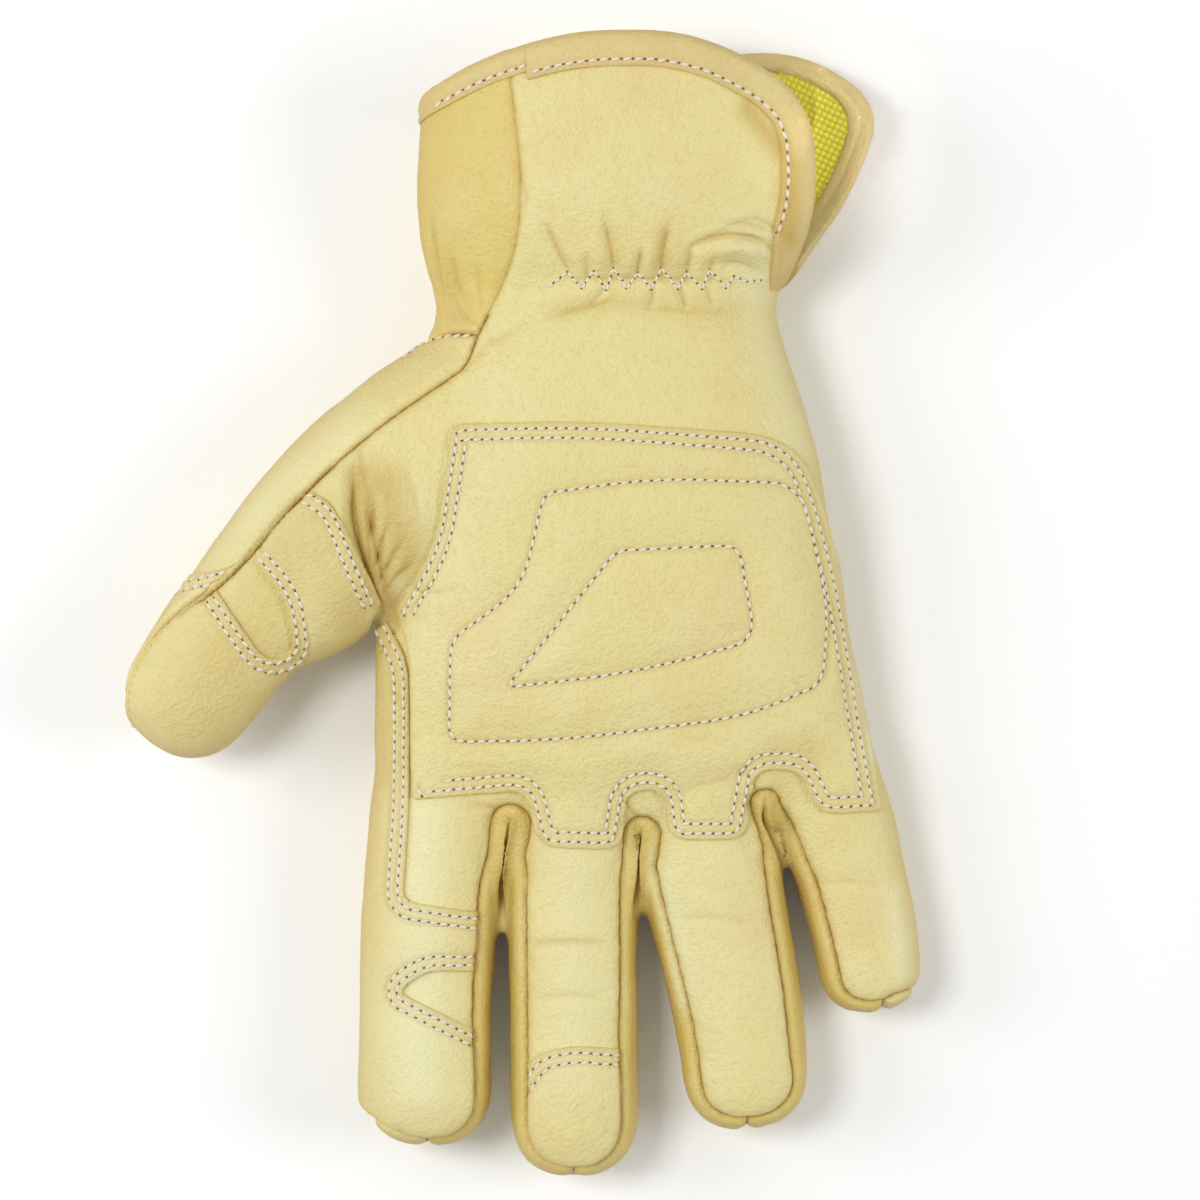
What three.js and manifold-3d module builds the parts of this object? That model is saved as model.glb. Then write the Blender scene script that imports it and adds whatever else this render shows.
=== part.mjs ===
// A right-hand leather utility glove that lies on its back with the palm up, sewn from separate pieces of leather.
// Millimetres. X runs from the thumb to the little finger, Y from the fingertips to the cuff, Z up from the back of
// the hand to the palm. The origin is on the surface that the glove lies on, under the middle of the palm.
import * as THREE from "three";
import { mergeVertices } from "three/addons/utils/BufferGeometryUtils.js";
import Module from "manifold-3d";

const wasm = await Module();
wasm.setup();

// Leather, fabric and seams.
const WALL = 2; // lined leather of the sewn hand
const PATCH = 1.3; // reinforcement leather over it
const GAP = 0.3; // between neighbouring pieces
const FABRIC = 0.8; // woven lining that shows in the cuff
const TAPE = 1.1; // leather strip folded over the cuff's edge
const TAPE_WIDTH = 6.6; // how far the strip reaches in from the edge
const LINING_END = 56; // Y where the cuff's lining stops, past the wrist

// Facets.
const BODY_SIDES = { outer: 26, inner: 18 };
const FINGER_SIDES = { outer: 14, inner: 10 };
const CAP_ANGLES = [0, 40, 72]; // degrees round a fingertip, from the side to the end
const CORNER_STEPS = 3;

// Room for prisms that only cut.
const FAR = 150;
const SKY = 90;

// The hand and cuff, as sections across the glove: side edges of the palm half, how far the back half's
// little-finger edge flares, top of the palm, underside of the back before it is flattened, and squareness.
const BODY = [
  { y: 140, left: -21, right: 79, flare: 87, top: 46, floor: 3.4, square: 2.3 },
  { y: 104, left: -23.8, right: 79, flare: 84.5, top: 45, floor: -1, square: 2.3 },
  { y: 89, left: -23.8, right: 75, flare: 77, top: 43, floor: -2, square: 2.3 },
  { y: 79, left: -22.6, right: 66.5, flare: 68, top: 39.5, floor: -1, square: 2.3 },
  { y: 72.5, left: -20, right: 60.6, flare: 61, top: 36.5, floor: 1.5, square: 2.4, gather: 1.1 },
  { y: 66, left: -19, right: 60.4, flare: 60.4, top: 36.5, floor: 0.5, square: 2.4 },
  { y: 52, left: -25, right: 63.5, flare: 63.5, top: 38, floor: -1.5, square: 2.4 },
  { y: 33, left: -29, right: 69.4, flare: 69.4, top: 38.5, floor: -2, square: 2.5 },
  { y: 4, left: -32.6, right: 74.6, flare: 74.6, top: 37, floor: -2, square: 2.6 },
  { y: -22, left: -32.9, right: 79.4, flare: 79.4, top: 33.4, floor: -2, square: 2.6 },
  { y: -45, left: -32, right: 83, flare: 83, top: 28, floor: -1, square: 2.5 },
  { y: -51, left: -28, right: 79.4, flare: 79.4, top: 24, floor: 3, square: 2.3 },
];

// Fingers and thumb, root to tip: axis point, half width, half thickness. The last row is where the tip's round
// begins, cap is how far it reaches past that row, and rings counts the rings of facets before it.
const INDEX = {
  cap: 13.8,
  rings: 3,
  rows: [
    { x: -16, y: -22, z: 15, half: 14.5, rise: 12.5 },
    { x: -18, y: -50, z: 13.6, half: 16, rise: 14.2 },
    { x: -20.2, y: -68, z: 13.4, half: 15.4, rise: 14 },
    { x: -21.6, y: -92, z: 14.4, half: 14.6, rise: 13.4 },
    { x: -21.8, y: -114, z: 16, half: 14.8, rise: 12.4 },
  ],
};
const MIDDLE = {
  cap: 14.2,
  rings: 3,
  rows: [
    { x: 11, y: -24, z: 15, half: 14, rise: 12.5 },
    { x: 12, y: -52, z: 13.8, half: 16, rise: 14.4 },
    { x: 11.8, y: -70, z: 13.6, half: 15.4, rise: 14.2 },
    { x: 12, y: -96, z: 14.6, half: 14.9, rise: 13.6 },
    { x: 12.2, y: -120, z: 16.2, half: 15, rise: 12.6 },
  ],
};
const RING = {
  cap: 12.6,
  rings: 3,
  rows: [
    { x: 38, y: -22, z: 15, half: 13.5, rise: 12.5 },
    { x: 42.2, y: -52, z: 13.8, half: 16.6, rise: 14.2 },
    { x: 45.8, y: -70, z: 13.6, half: 15.8, rise: 14 },
    { x: 50.2, y: -92, z: 14.4, half: 15, rise: 13.2 },
    { x: 52.6, y: -110.4, z: 15.8, half: 15, rise: 12.2 },
  ],
};
const LITTLE = {
  cap: 10.8,
  rings: 3,
  rows: [
    { x: 63, y: -20, z: 14.5, half: 12.5, rise: 12 },
    { x: 72.2, y: -48, z: 13, half: 13.9, rise: 13 },
    { x: 76.8, y: -63, z: 12.6, half: 13, rise: 12.4 },
    { x: 80, y: -76, z: 12.8, half: 12.2, rise: 11.8 },
    { x: 82, y: -85.5, z: 13.6, half: 12, rise: 11.2 },
  ],
};
const THUMB = {
  cap: 13.6,
  rings: 3,
  rows: [
    { x: -4, y: 41, z: 21, half: 25, rise: 15.5 },
    { x: -19.2, y: 34.7, z: 21, half: 23, rise: 16 },
    { x: -36.2, y: 21.8, z: 21, half: 22.5, rise: 16 },
    { x: -52.3, y: 7.2, z: 20.5, half: 19.8, rise: 15.4 },
    { x: -65.9, y: -5.6, z: 20, half: 16.1, rise: 14.6 },
    { x: -77.2, y: -20.8, z: 20, half: 14.6, rise: 13.4 },
  ],
};
const FINGERS = [INDEX, MIDDLE, RING, LITTLE];

// Seams and edges seen from above. x and y are a corner, r its rounding.
const PAD_INSET = 3.7; // from a finger's side to the seam round its palm face
const TIP_RISE = 6; // the side seam of the first and last finger climbs this far before the tip
const SIDE_SEAM = [
  // height of the seam between the palm half and the back half
  { y: -FAR, z: 23 },
  { y: -122, z: 12.5 },
  { y: -110, z: 9.5 },
  { y: -88, z: 9.2 },
  { y: -50, z: 7.5 },
  { y: -5, z: 11 },
  { y: 60, z: 17 },
  { y: FAR, z: 21 },
];
const CROTCHES = [
  { x: -2.4, y: -51.5, r: 4 },
  { x: 28.2, y: -54, r: 3.6 },
  { x: 56.6, y: -47, r: 3.4 },
];
const FRONT_EDGE = [
  { x: -22.4, y: 115.6, r: 4 },
  { x: -8, y: 122, r: 12 },
  { x: 12, y: 127.6, r: 14 },
  { x: 40, y: 128, r: 16 },
  { x: 66.6, y: 114, r: 18 },
  { x: 67.4, y: 89, r: 14 },
  { x: 60, y: 73, r: 3 },
];
const BACK_EDGE = [
  { x: -22.4, y: 115.4, r: 4 },
  { x: -8, y: 121, r: 10 },
  { x: 20, y: 126.4, r: 14 },
  { x: 66, y: 130.2, r: 14 },
  { x: 84.4, y: 117, r: 14 },
  { x: 77.6, y: 97, r: 9 },
  { x: 60.4, y: 71, r: 2 },
];
const CUFF_SEAM = [
  { x: -2.4, y: 120, r: 3 },
  { x: 0.4, y: 98, r: 20 },
  { x: -0.5, y: 80, r: 16 },
  { x: -10, y: 61.5, r: 4 },
];
const THUMB_SEAM = [
  { x: -12.5, y: 54, r: 3 },
  { x: -33, y: 40, r: 20 },
  { x: -51, y: 24, r: 16 },
  { x: -66, y: 6, r: 16 },
  { x: -84, y: -7, r: 12 },
  { x: -92, y: -22, r: 10 },
  { x: -88, y: -40, r: 4 },
];
const THUMB_TOP = [
  // the thumb back's edge against the cuff
  { x: -19, y: 62.2, r: 6 },
  { x: -29, y: 57, r: 4 },
];
const THUMB_ROOT = [
  // the thumb back's edge on the back of the hand
  { x: -12, y: 50, r: 6 },
  { x: -20, y: 20, r: 14 },
  { x: -28.5, y: -4, r: 4 },
];
const THUMB_CROTCH = { x: -29, y: -6 };
const PALM_PATCH = [
  { x: -15.5, y: 40.5, r: 3 },
  { x: 14, y: 41.2, r: 30 },
  { x: 64, y: 37.5, r: 12 },
  { x: 73.5, y: 8, r: 30 },
  { x: 83.2, y: -48.8, r: 1 },
  { x: 69, y: -49.4, r: 4 },
  { x: 64, y: -39, r: 3 },
  { x: 54.5, y: -39, r: 3 },
  { x: 51.5, y: -55.2, r: 4 },
  { x: 34.5, y: -55.2, r: 4 },
  { x: 33, y: -43.4, r: 4 },
  { x: 24.8, y: -43.4, r: 4 },
  { x: 22.5, y: -57.6, r: 4 },
  { x: 4.5, y: -56.8, r: 4 },
  { x: 1, y: -43.6, r: 4 },
  { x: -25, y: -46, r: 0.5 },
  { x: -25, y: -12, r: 6 },
  { x: -28.5, y: -2, r: 1 },
  { x: -20, y: 12, r: 14 },
];
const INDEX_PATCH_EDGE = [
  { x: -30, y: -7, r: 1 },
  { x: -25.6, y: -14, r: 6 },
  { x: -25.6, y: -46, r: 8 },
  { x: -27.2, y: -69.5, r: 3 },
  { x: -9.5, y: -72.2, r: 0.5 },
];
const INDEX_CUTOUT = [
  { x: -4, y: -86.2, r: 0.5 },
  { x: -22, y: -85.4, r: 4 },
  { x: -28.4, y: -90.4, r: 2.6 },
  { x: -4, y: -103, r: 0.5 },
];
const THUMB_PATCH_EDGE = [
  { x: -48.4, y: 26, r: 0.5 },
  { x: -42, y: 22, r: 8 },
  { x: -32.6, y: -0.5, r: 0.5 },
];
const THUMB_CUTOUT = [
  { x: -64.5, y: 12.6, r: 0.5 },
  { x: -53.5, y: 0.5, r: 12 },
  { x: -52.5, y: -12, r: 5 },
  { x: -59, y: -13.5, r: 4 },
  { x: -70.5, y: 3.5, r: 0.5 },
];
const MIDDLE_TIP_Y = -104;
const THUMB_BACK_TIP = [
  { x: -61, y: 16, r: 0.5 },
  { x: -70, y: 7.2, r: 8 },
  { x: -84, y: 7, r: 4 },
  { x: -99, y: -2, r: 1 },
];

// A value between neighbouring rows of a table, smooth through the rows.
function smoothColumns(rows, names) {
  const columns = names.map(
    (name) =>
      new THREE.SplineCurve(rows.map((row, i) => new THREE.Vector2(i, row[name] ?? 0))),
  );
  return (u) =>
    Object.fromEntries(names.map((name, k) => [name, columns[k].getPoint(u).y]));
}

// A closed mesh as a solid that can be joined and cut.
function solidOf(geometry) {
  const bare = geometry.clone();
  bare.deleteAttribute("normal");
  bare.deleteAttribute("uv");
  const merged = mergeVertices(bare, 1e-4);
  return new wasm.Manifold(
    new wasm.Mesh({
      numProp: 3,
      vertProperties: merged.attributes.position.array,
      triVerts: new Uint32Array(merged.index.array),
    }),
  );
}

// A capped cylinder whose rings are moved to the sections that place gives: place(ring, across, up, radial).
function tube(sides, rings, place) {
  const geometry = new THREE.CylinderGeometry(1, 1, 1, sides, rings - 1);
  const position = geometry.attributes.position;
  for (let i = 0; i < position.count; i++) {
    const ring = Math.round((0.5 - position.getY(i)) * (rings - 1));
    const across = position.getX(i);
    const up = position.getZ(i);
    const spot = place(ring, across, up, Math.hypot(across, up));
    position.setXYZ(i, spot.x, spot.y, spot.z);
  }
  return solidOf(geometry);
}

// Turns a point of the unit circle into one of a rounder square.
function squared(value, square) {
  return Math.sign(value) * Math.abs(value) ** (2 / square);
}

// The inside of the leather needs fewer facets than the outside.
function sidesFor(sides, grow) {
  return grow < -WALL / 2 ? sides.inner : sides.outer;
}

// The hand and cuff grown by a distance: flared for the back half, plain for the palm half.
function bodyForm(grow, flared) {
  const sides = sidesFor(BODY_SIDES, grow);
  return tube(sides, BODY.length, (ring, across, up, radial) => {
    const row = BODY[ring];
    const right = flared ? row.flare : row.right;
    const half = (right - row.left) / 2 + grow;
    const rise = (row.top - row.floor) / 2 + grow;
    const column = Math.round((Math.atan2(up, across) / Math.PI) * (sides / 2));
    const gather = row.gather && column % 2 ? row.gather : 0;
    const end = ring === 0 ? -grow : ring === BODY.length - 1 ? -grow : 0;
    return new THREE.Vector3(
      (right + row.left) / 2 + squared(across, row.square) * (half - gather),
      row.y + end,
      (row.top + row.floor) / 2 + squared(up, row.square) * (rise - gather) * Math.min(1, radial),
    );
  });
}

// A finger grown by a distance: its sections stand square to its axis, and its tip is round.
function fingerForm(finger, grow) {
  const axis = new THREE.CatmullRomCurve3(
    finger.rows.map((row) => new THREE.Vector3(row.x, row.y, row.z)),
  );
  const size = smoothColumns(finger.rows, ["half", "rise"]);
  const { rings } = finger;
  const upward = new THREE.Vector3(0, 0, 1);
  return tube(sidesFor(FINGER_SIDES, grow), rings + CAP_ANGLES.length, (ring, across, up) => {
    const inCap = ring >= rings;
    const u = inCap ? 1 : ring / rings;
    const angle = inCap ? THREE.MathUtils.degToRad(CAP_ANGLES[ring - rings]) : 0;
    const tangent = axis.getTangent(u);
    const wide = new THREE.Vector3().crossVectors(upward, tangent).normalize();
    const high = new THREE.Vector3().crossVectors(tangent, wide).normalize();
    const { half, rise } = size(u);
    const narrowing = Math.cos(angle) ** 0.75;
    return axis
      .getPoint(u)
      .addScaledVector(tangent, (finger.cap + grow) * Math.sin(angle))
      .addScaledVector(wide, squared(across, 2.35) * (half + grow) * narrowing)
      .addScaledVector(high, squared(up, 2.35) * (rise + grow) * narrowing);
  });
}

// The whole closed hand, flattened underneath where it lies, grown by a distance.
function handForm(grow, flared) {
  const joined = [...FINGERS, THUMB]
    .map((finger) => fingerForm(finger, grow))
    .reduce((all, one) => all.add(one), bodyForm(grow, flared));
  return joined.subtract(block(-FAR, FAR, -FAR, FAR, -FAR, -Math.min(grow, 0)));
}

function block(x0, x1, y0, y1, z0, z1) {
  const geometry = new THREE.BoxGeometry(x1 - x0, y1 - y0, z1 - z0);
  geometry.translate((x0 + x1) / 2, (y0 + y1) / 2, (z0 + z1) / 2);
  return solidOf(geometry);
}

// The points of a line of corners, each rounded by its r. The ends of an open line stay where they are.
function rounded(corners, closed = false) {
  const points = [];
  corners.forEach((corner, i) => {
    const here = new THREE.Vector2(corner.x, corner.y);
    if (!closed && (i === 0 || i === corners.length - 1)) return points.push(here);
    const before = corners.at(i - 1);
    const after = corners[(i + 1) % corners.length];
    const toBefore = new THREE.Vector2(before.x, before.y).sub(here);
    const toAfter = new THREE.Vector2(after.x, after.y).sub(here);
    const reach = Math.min(corner.r, toBefore.length() * 0.48, toAfter.length() * 0.48);
    const bend = new THREE.QuadraticBezierCurve(
      here.clone().addScaledVector(toBefore.normalize(), reach),
      here,
      here.clone().addScaledVector(toAfter.normalize(), reach),
    );
    points.push(...bend.getPoints(corner.r < 1 ? 1 : CORNER_STEPS));
  });
  return points;
}

// A closed outline moved outwards by a distance, along the mean of its sides' directions at each point.
function outset(points, distance) {
  const turn = Math.sign(THREE.ShapeUtils.area(points));
  return points.map((point, i) => {
    const before = points.at(i - 1);
    const after = points[(i + 1) % points.length];
    const a = point.clone().sub(before).normalize();
    const b = after.clone().sub(point).normalize();
    const along = a.clone().add(b).normalize();
    const stretch = 1 / Math.max(0.4, along.dot(a));
    return point.clone().add(new THREE.Vector2(along.y, -along.x).multiplyScalar(turn * distance * stretch));
  });
}

// A wall straight up from an outline seen from above.
function prism(points, z0 = -FAR, z1 = SKY) {
  const geometry = new THREE.ExtrudeGeometry(new THREE.Shape(points), {
    depth: z1 - z0,
    bevelEnabled: false,
  });
  geometry.translate(0, 0, z0);
  return solidOf(geometry);
}

// Everything above the side seam, or everything below it, with the seam moved up by a distance.
function seamHalf(above, up = 0) {
  const edge = SIDE_SEAM.map((row) => new THREE.Vector2(row.y, row.z + up));
  const far = above ? SKY : -FAR;
  const outline = [...edge, new THREE.Vector2(FAR, far), new THREE.Vector2(-FAR, far)];
  const geometry = new THREE.ExtrudeGeometry(new THREE.Shape(outline), {
    depth: 2 * FAR,
    bevelEnabled: false,
  });
  // The outline's axes become Y and Z, and its depth becomes X.
  geometry.applyMatrix4(new THREE.Matrix4().makeBasis(
    new THREE.Vector3(0, 1, 0),
    new THREE.Vector3(0, 0, 1),
    new THREE.Vector3(1, 0, 0),
  ));
  geometry.translate(-FAR, 0, 0);
  return solidOf(geometry);
}

// The seam round one finger's palm face, from its thumb side over the tip to its other side.
function padSeam(finger, inset = PAD_INSET, fromRow = 1.4) {
  const last = finger.rows.length - 1;
  const axis = new THREE.SplineCurve(finger.rows.map((row) => new THREE.Vector2(row.x, row.y)));
  const size = smoothColumns(finger.rows, ["half"]);
  const side = (u, sign) => {
    const along = axis.getTangent(u);
    const across = new THREE.Vector2(-along.y, along.x);
    return axis.getPoint(u).addScaledVector(across, -sign * (size(u).half - inset));
  };
  const start = fromRow / last;
  const stops = [0, 0.25, 0.5, 0.75].map((share) => start + (1 - start) * share);
  const along = axis.getTangent(1);
  const across = new THREE.Vector2(along.y, -along.x);
  const tip = [];
  for (let degrees = 0; degrees <= 180; degrees += 30) {
    const angle = THREE.MathUtils.degToRad(degrees);
    tip.push(
      axis.getPoint(1)
        .addScaledVector(across, (size(1).half - inset) * squared(Math.cos(angle), 2.3))
        .addScaledVector(along, (finger.cap - inset + 0.7) * squared(Math.sin(angle), 2.3)),
    );
  }
  return [...stops.map((u) => side(u, 1)), ...tip, ...stops.reverse().map((u) => side(u, -1))];
}

// The half-round of the seam over the gap between two fingers.
function crotchSeam({ x, y, r }) {
  return [180, 135, 90, 45, 0].map((degrees) => {
    const angle = THREE.MathUtils.degToRad(degrees);
    return new THREE.Vector2(x + r * Math.cos(angle), y + r * Math.sin(angle));
  });
}

const vector = (x, y) => new THREE.Vector2(x, y);

// Outline of the palm piece: cuff, palm, the thumb's and the four fingers' palm faces in one.
function palmOutline() {
  const [index, middle, ring, little] = FINGERS.map((finger) => padSeam(finger));
  const indexTip = index.slice(6);
  const littleTip = little.slice(0, -6);
  return [
    vector(-2.4, FAR),
    ...rounded([...CUFF_SEAM, ...THUMB_SEAM]),
    vector(-70, -60),
    vector(-44, -40),
    vector(-44, indexTip[0].y + TIP_RISE),
    ...indexTip,
    ...crotchSeam(CROTCHES[0]),
    ...middle,
    ...crotchSeam(CROTCHES[1]),
    ...ring,
    ...crotchSeam(CROTCHES[2]),
    ...littleTip,
    vector(110, littleTip.at(-1).y + TIP_RISE),
    vector(110, FAR),
  ];
}

// Plan of the thumb: everything on its side of the root line, and of its top edge.
function thumbOutline() {
  return [
    ...rounded([{ x: -10.3, y: 61, r: 0 }, ...THUMB_ROOT, { ...THUMB_CROTCH, r: 0 }]),
    vector(-45, -60),
    vector(-120, -60),
    vector(-120, 54),
    ...rounded([...THUMB_TOP.toReversed(), { x: -10.6, y: 61.4, r: 0 }]),
  ];
}

function cuffSideOutline() {
  return [
    vector(-60, FAR),
    vector(-60, 54),
    ...rounded([...THUMB_TOP.toReversed(), { x: -10.6, y: 61.4, r: 0 }]),
    ...rounded(CUFF_SEAM.toReversed()),
    vector(-2.4, FAR),
  ];
}

// Everything on the hand's side of one edge of the cuff.
function cuffOutline(edge) {
  const first = edge[0];
  return [
    vector(-FAR, -FAR),
    vector(FAR, -FAR),
    vector(FAR, 68),
    ...rounded([...edge.toReversed(), { x: first.x - 8, y: first.y - 3, r: 1 }]),
    vector(-FAR, first.y - 6),
  ];
}

// The part of a solid that holds most of it, without crumbs.
function main(solid) {
  return solid.decompose().reduce((best, one) => (one.volume() > best.volume() ? one : best));
}

const above = seamHalf(true);
const aboveLoose = seamHalf(true, -GAP);
const below = seamHalf(false, -GAP);
const palmPlan = palmOutline();
const palmTaken = prism(outset(palmPlan, GAP)).intersect(aboveLoose);
const thumbPlan = thumbOutline();
const frontTrim = prism(cuffOutline(FRONT_EDGE));
const backTrim = prism(cuffOutline(BACK_EDGE));
const form = {
  plain: (grow) => handForm(grow, false),
  flared: (grow) => handForm(grow, true),
};

// A skin of the hand between two distances from the leather's outer face.
function skin(kind, outer, inner) {
  const open = block(-FAR, FAR, BODY[0].y - 2 * WALL - GAP, FAR, -FAR, FAR);
  return form[kind](outer).subtract(form[kind](inner)).subtract(open);
}

const palmSkin = skin("plain", 0, -WALL).intersect(frontTrim);
const backSkin = skin("flared", 0, -WALL).intersect(backTrim);
const patchSkin = skin("plain", GAP + PATCH, GAP);

// Where the back piece turns up over the outer half of the first and the last fingertip.
const indexTipX = -22;
const littleTipX = 84.5;
const turnedUp = block(-60, indexTipX, -FAR, -113.5, 0, SKY).add(
  block(littleTipX, 120, -FAR, -85.5, 0, SKY),
);
const turnedUpTaken = block(-60, indexTipX + GAP, -FAR, -113.5, 0, SKY).add(
  block(littleTipX - GAP, 120, -FAR, -85.5, 0, SKY),
);

function palmPanel() {
  return palmSkin.intersect(above).intersect(prism(palmPlan));
}

function cuffSidePanel() {
  return palmSkin.intersect(above).intersect(prism(outset(cuffSideOutline(), -GAP)));
}

function thumbBackPanel() {
  return palmSkin.intersect(prism(thumbPlan)).subtract(palmTaken);
}

function backPanel() {
  return backSkin
    .intersect(below.add(turnedUp))
    .subtract(prism(outset(thumbPlan, GAP)))
    .subtract(palmTaken);
}

// The side strip between two neighbouring fingers, from one fingertip round the gap to the next.
function fourchette(x0, x1) {
  return palmSkin
    .intersect(above)
    .intersect(block(x0 + GAP / 2, x1 - GAP / 2, -FAR, -30, -FAR, SKY))
    .subtract(palmTaken)
    .subtract(turnedUpTaken);
}

function patchOver(points, lowest = 15) {
  return patchSkin.intersect(prism(points, lowest));
}

function palmPatch() {
  return patchOver(rounded(PALM_PATCH, true));
}

function indexPatch() {
  const seam = padSeam(INDEX, PAD_INSET + 0.5, 2.4).slice(6).reverse();
  const outline = [...rounded(INDEX_PATCH_EDGE), ...seam, vector(-44, -113), vector(-44, -18), vector(-36, -11)];
  return patchOver(outline, 12).subtract(prism(rounded(INDEX_CUTOUT)));
}

function thumbPatch() {
  const seam = rounded(THUMB_SEAM).filter((point) => point.y < 26);
  const outline = outset([...rounded(THUMB_PATCH_EDGE), vector(-37, -9), vector(-70, -60), ...seam.reverse()], -0.5);
  return patchOver(outline, 20).subtract(prism(rounded(THUMB_CUTOUT)));
}

function middleTipPatch() {
  const pad = padSeam(MIDDLE, PAD_INSET + 0.5, 3).filter((point) => point.y < MIDDLE_TIP_Y - 3);
  return patchOver([vector(4, MIDDLE_TIP_Y - 1), ...pad, vector(20, MIDDLE_TIP_Y)], 18);
}

function thumbBackTipPatch() {
  const seam = rounded(THUMB_SEAM).filter((point) => point.y < 14 && point.y > -34);
  const outline = outset([...seam, vector(-100, -34), ...rounded(THUMB_BACK_TIP).reverse()], -0.5);
  return patchOver(outline, 20);
}

// The strip folded over one edge of the cuff: a channel that holds the leather and its lining.
function binding(kind, edge, half) {
  const plan = cuffOutline(edge);
  const inner = -WALL - GAP - FABRIC - GAP;
  const band = prism(outset(plan, GAP + TAPE)).subtract(prism(outset(plan, -TAPE_WIDTH)));
  const held = skin(kind, GAP, inner).intersect(prism(outset(plan, GAP)));
  const reach = block(-FAR, FAR, 74, FAR, -FAR, FAR);
  return skin(kind, GAP + TAPE, inner - TAPE).subtract(held).intersect(band).intersect(half).intersect(reach);
}

// The woven fabric inside one flap of the cuff and round to the side seams.
function cuffLining(kind, trim, half) {
  const mouth = block(-FAR, FAR, LINING_END, FAR, -FAR, FAR);
  const outer = -WALL - GAP;
  return skin(kind, outer, outer - FABRIC).intersect(trim).intersect(half).intersect(mouth);
}

// Finishes: colour, roughness.
const LEATHER = new THREE.MeshStandardMaterial({ color: 0xe6d898, roughness: 0.62, metalness: 0 });
const PATCH_LEATHER = new THREE.MeshStandardMaterial({ color: 0xe4d498, roughness: 0.66, metalness: 0 });
const BINDING_LEATHER = new THREE.MeshStandardMaterial({ color: 0xe0d294, roughness: 0.6, metalness: 0 });
const WOVEN = new THREE.MeshStandardMaterial({ color: 0xd4c94f, roughness: 0.85, metalness: 0 });

function piece(name, solid, material) {
  const made = main(solid).getMesh();
  const geometry = new THREE.BufferGeometry();
  geometry.setAttribute("position", new THREE.BufferAttribute(made.vertProperties, 3));
  geometry.setIndex(new THREE.BufferAttribute(made.triVerts, 1));
  geometry.computeVertexNormals();
  const mesh = new THREE.Mesh(geometry, material);
  mesh.name = name;
  return mesh;
}

const glove = new THREE.Group();
glove.add(
  piece("palm_panel", palmPanel(), LEATHER),
  piece("back_panel", backPanel(), LEATHER),
  piece("thumb_back_panel", thumbBackPanel(), LEATHER),
  piece("cuff_side_panel", cuffSidePanel(), LEATHER),
  piece("fourchette_index_middle", fourchette(indexTipX, 12.2), LEATHER),
  piece("fourchette_middle_ring", fourchette(12.2, 52.5), LEATHER),
  piece("fourchette_ring_little", fourchette(52.5, littleTipX), LEATHER),
  piece("palm_patch", palmPatch(), PATCH_LEATHER),
  piece("index_patch", indexPatch(), PATCH_LEATHER),
  piece("thumb_patch", thumbPatch(), PATCH_LEATHER),
  piece("middle_tip_patch", middleTipPatch(), PATCH_LEATHER),
  piece("thumb_back_tip_patch", thumbBackTipPatch(), PATCH_LEATHER),
  piece("front_binding", binding("plain", FRONT_EDGE, above), BINDING_LEATHER),
  piece("back_binding", binding("flared", BACK_EDGE, below), BINDING_LEATHER),
  piece("front_lining", cuffLining("plain", frontTrim, above), WOVEN),
  piece("back_lining", cuffLining("flared", backTrim, below), WOVEN),
);

export default glove;
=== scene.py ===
"""A right-hand leather utility glove on its back with the palm up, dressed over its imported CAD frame."""

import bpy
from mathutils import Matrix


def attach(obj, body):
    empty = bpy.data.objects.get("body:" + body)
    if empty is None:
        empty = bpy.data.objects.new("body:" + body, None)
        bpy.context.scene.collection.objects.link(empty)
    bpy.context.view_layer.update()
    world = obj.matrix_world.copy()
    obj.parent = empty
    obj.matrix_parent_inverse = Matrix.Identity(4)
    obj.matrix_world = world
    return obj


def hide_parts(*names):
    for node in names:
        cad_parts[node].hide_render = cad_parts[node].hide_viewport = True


bl_info = {
    "name": "Leather utility glove",
    "version": (1, 0, 0),
    "blender": (4, 2, 0),
    "location": "View3D > Sidebar > Glove",
    "description": "Sews a leather work glove piece by piece over its CAD frame",
    "category": "Add Mesh",
}

import math

import bmesh
import bpy
import numpy as np
from mathutils import Matrix, Vector, kdtree, noise
from mathutils.bvhtree import BVHTree

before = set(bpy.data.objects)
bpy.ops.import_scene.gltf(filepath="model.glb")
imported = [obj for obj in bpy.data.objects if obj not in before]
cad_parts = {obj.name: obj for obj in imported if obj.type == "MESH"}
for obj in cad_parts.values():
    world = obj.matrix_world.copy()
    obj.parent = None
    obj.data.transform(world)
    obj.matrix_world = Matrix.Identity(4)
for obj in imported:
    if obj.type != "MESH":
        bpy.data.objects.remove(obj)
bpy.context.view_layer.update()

MM = 0.001
VOXEL = 1.35  # mm between neighbouring points of a skin, before it is refined
SNAP = 0.06  # mm, how near to a cut line an existing point is moved on to it
FAR = 160  # mm, beyond the glove on every side
BATCH = 6000  # places that are measured at a time
HAND_END = -30  # y in mm, past which the palm side's skin belongs to the fingers
TOP_SIDE = 9  # z in mm, above which a place counts as facing up
THUMB_SIDE = 5  # x in mm, up to which the thumb's outline counts


def table(names, *rows):
    """Rows of values as dictionaries that share their names."""
    return [dict(zip(names, row)) for row in rows]


def finger_form(cap, *rows):
    """A finger's form: how far its tip reaches past the last row, and its sections from root to tip."""
    return {"cap": cap, "rows": table(("x", "y", "z", "half", "rise"), *rows)}


def plan_lines(measure, *rows):
    """Lines of plan points. Each row starts with the named measure and how wide the line works."""
    return [{measure: value, "wide": wide, "line": line} for value, wide, *line in rows]


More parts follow.
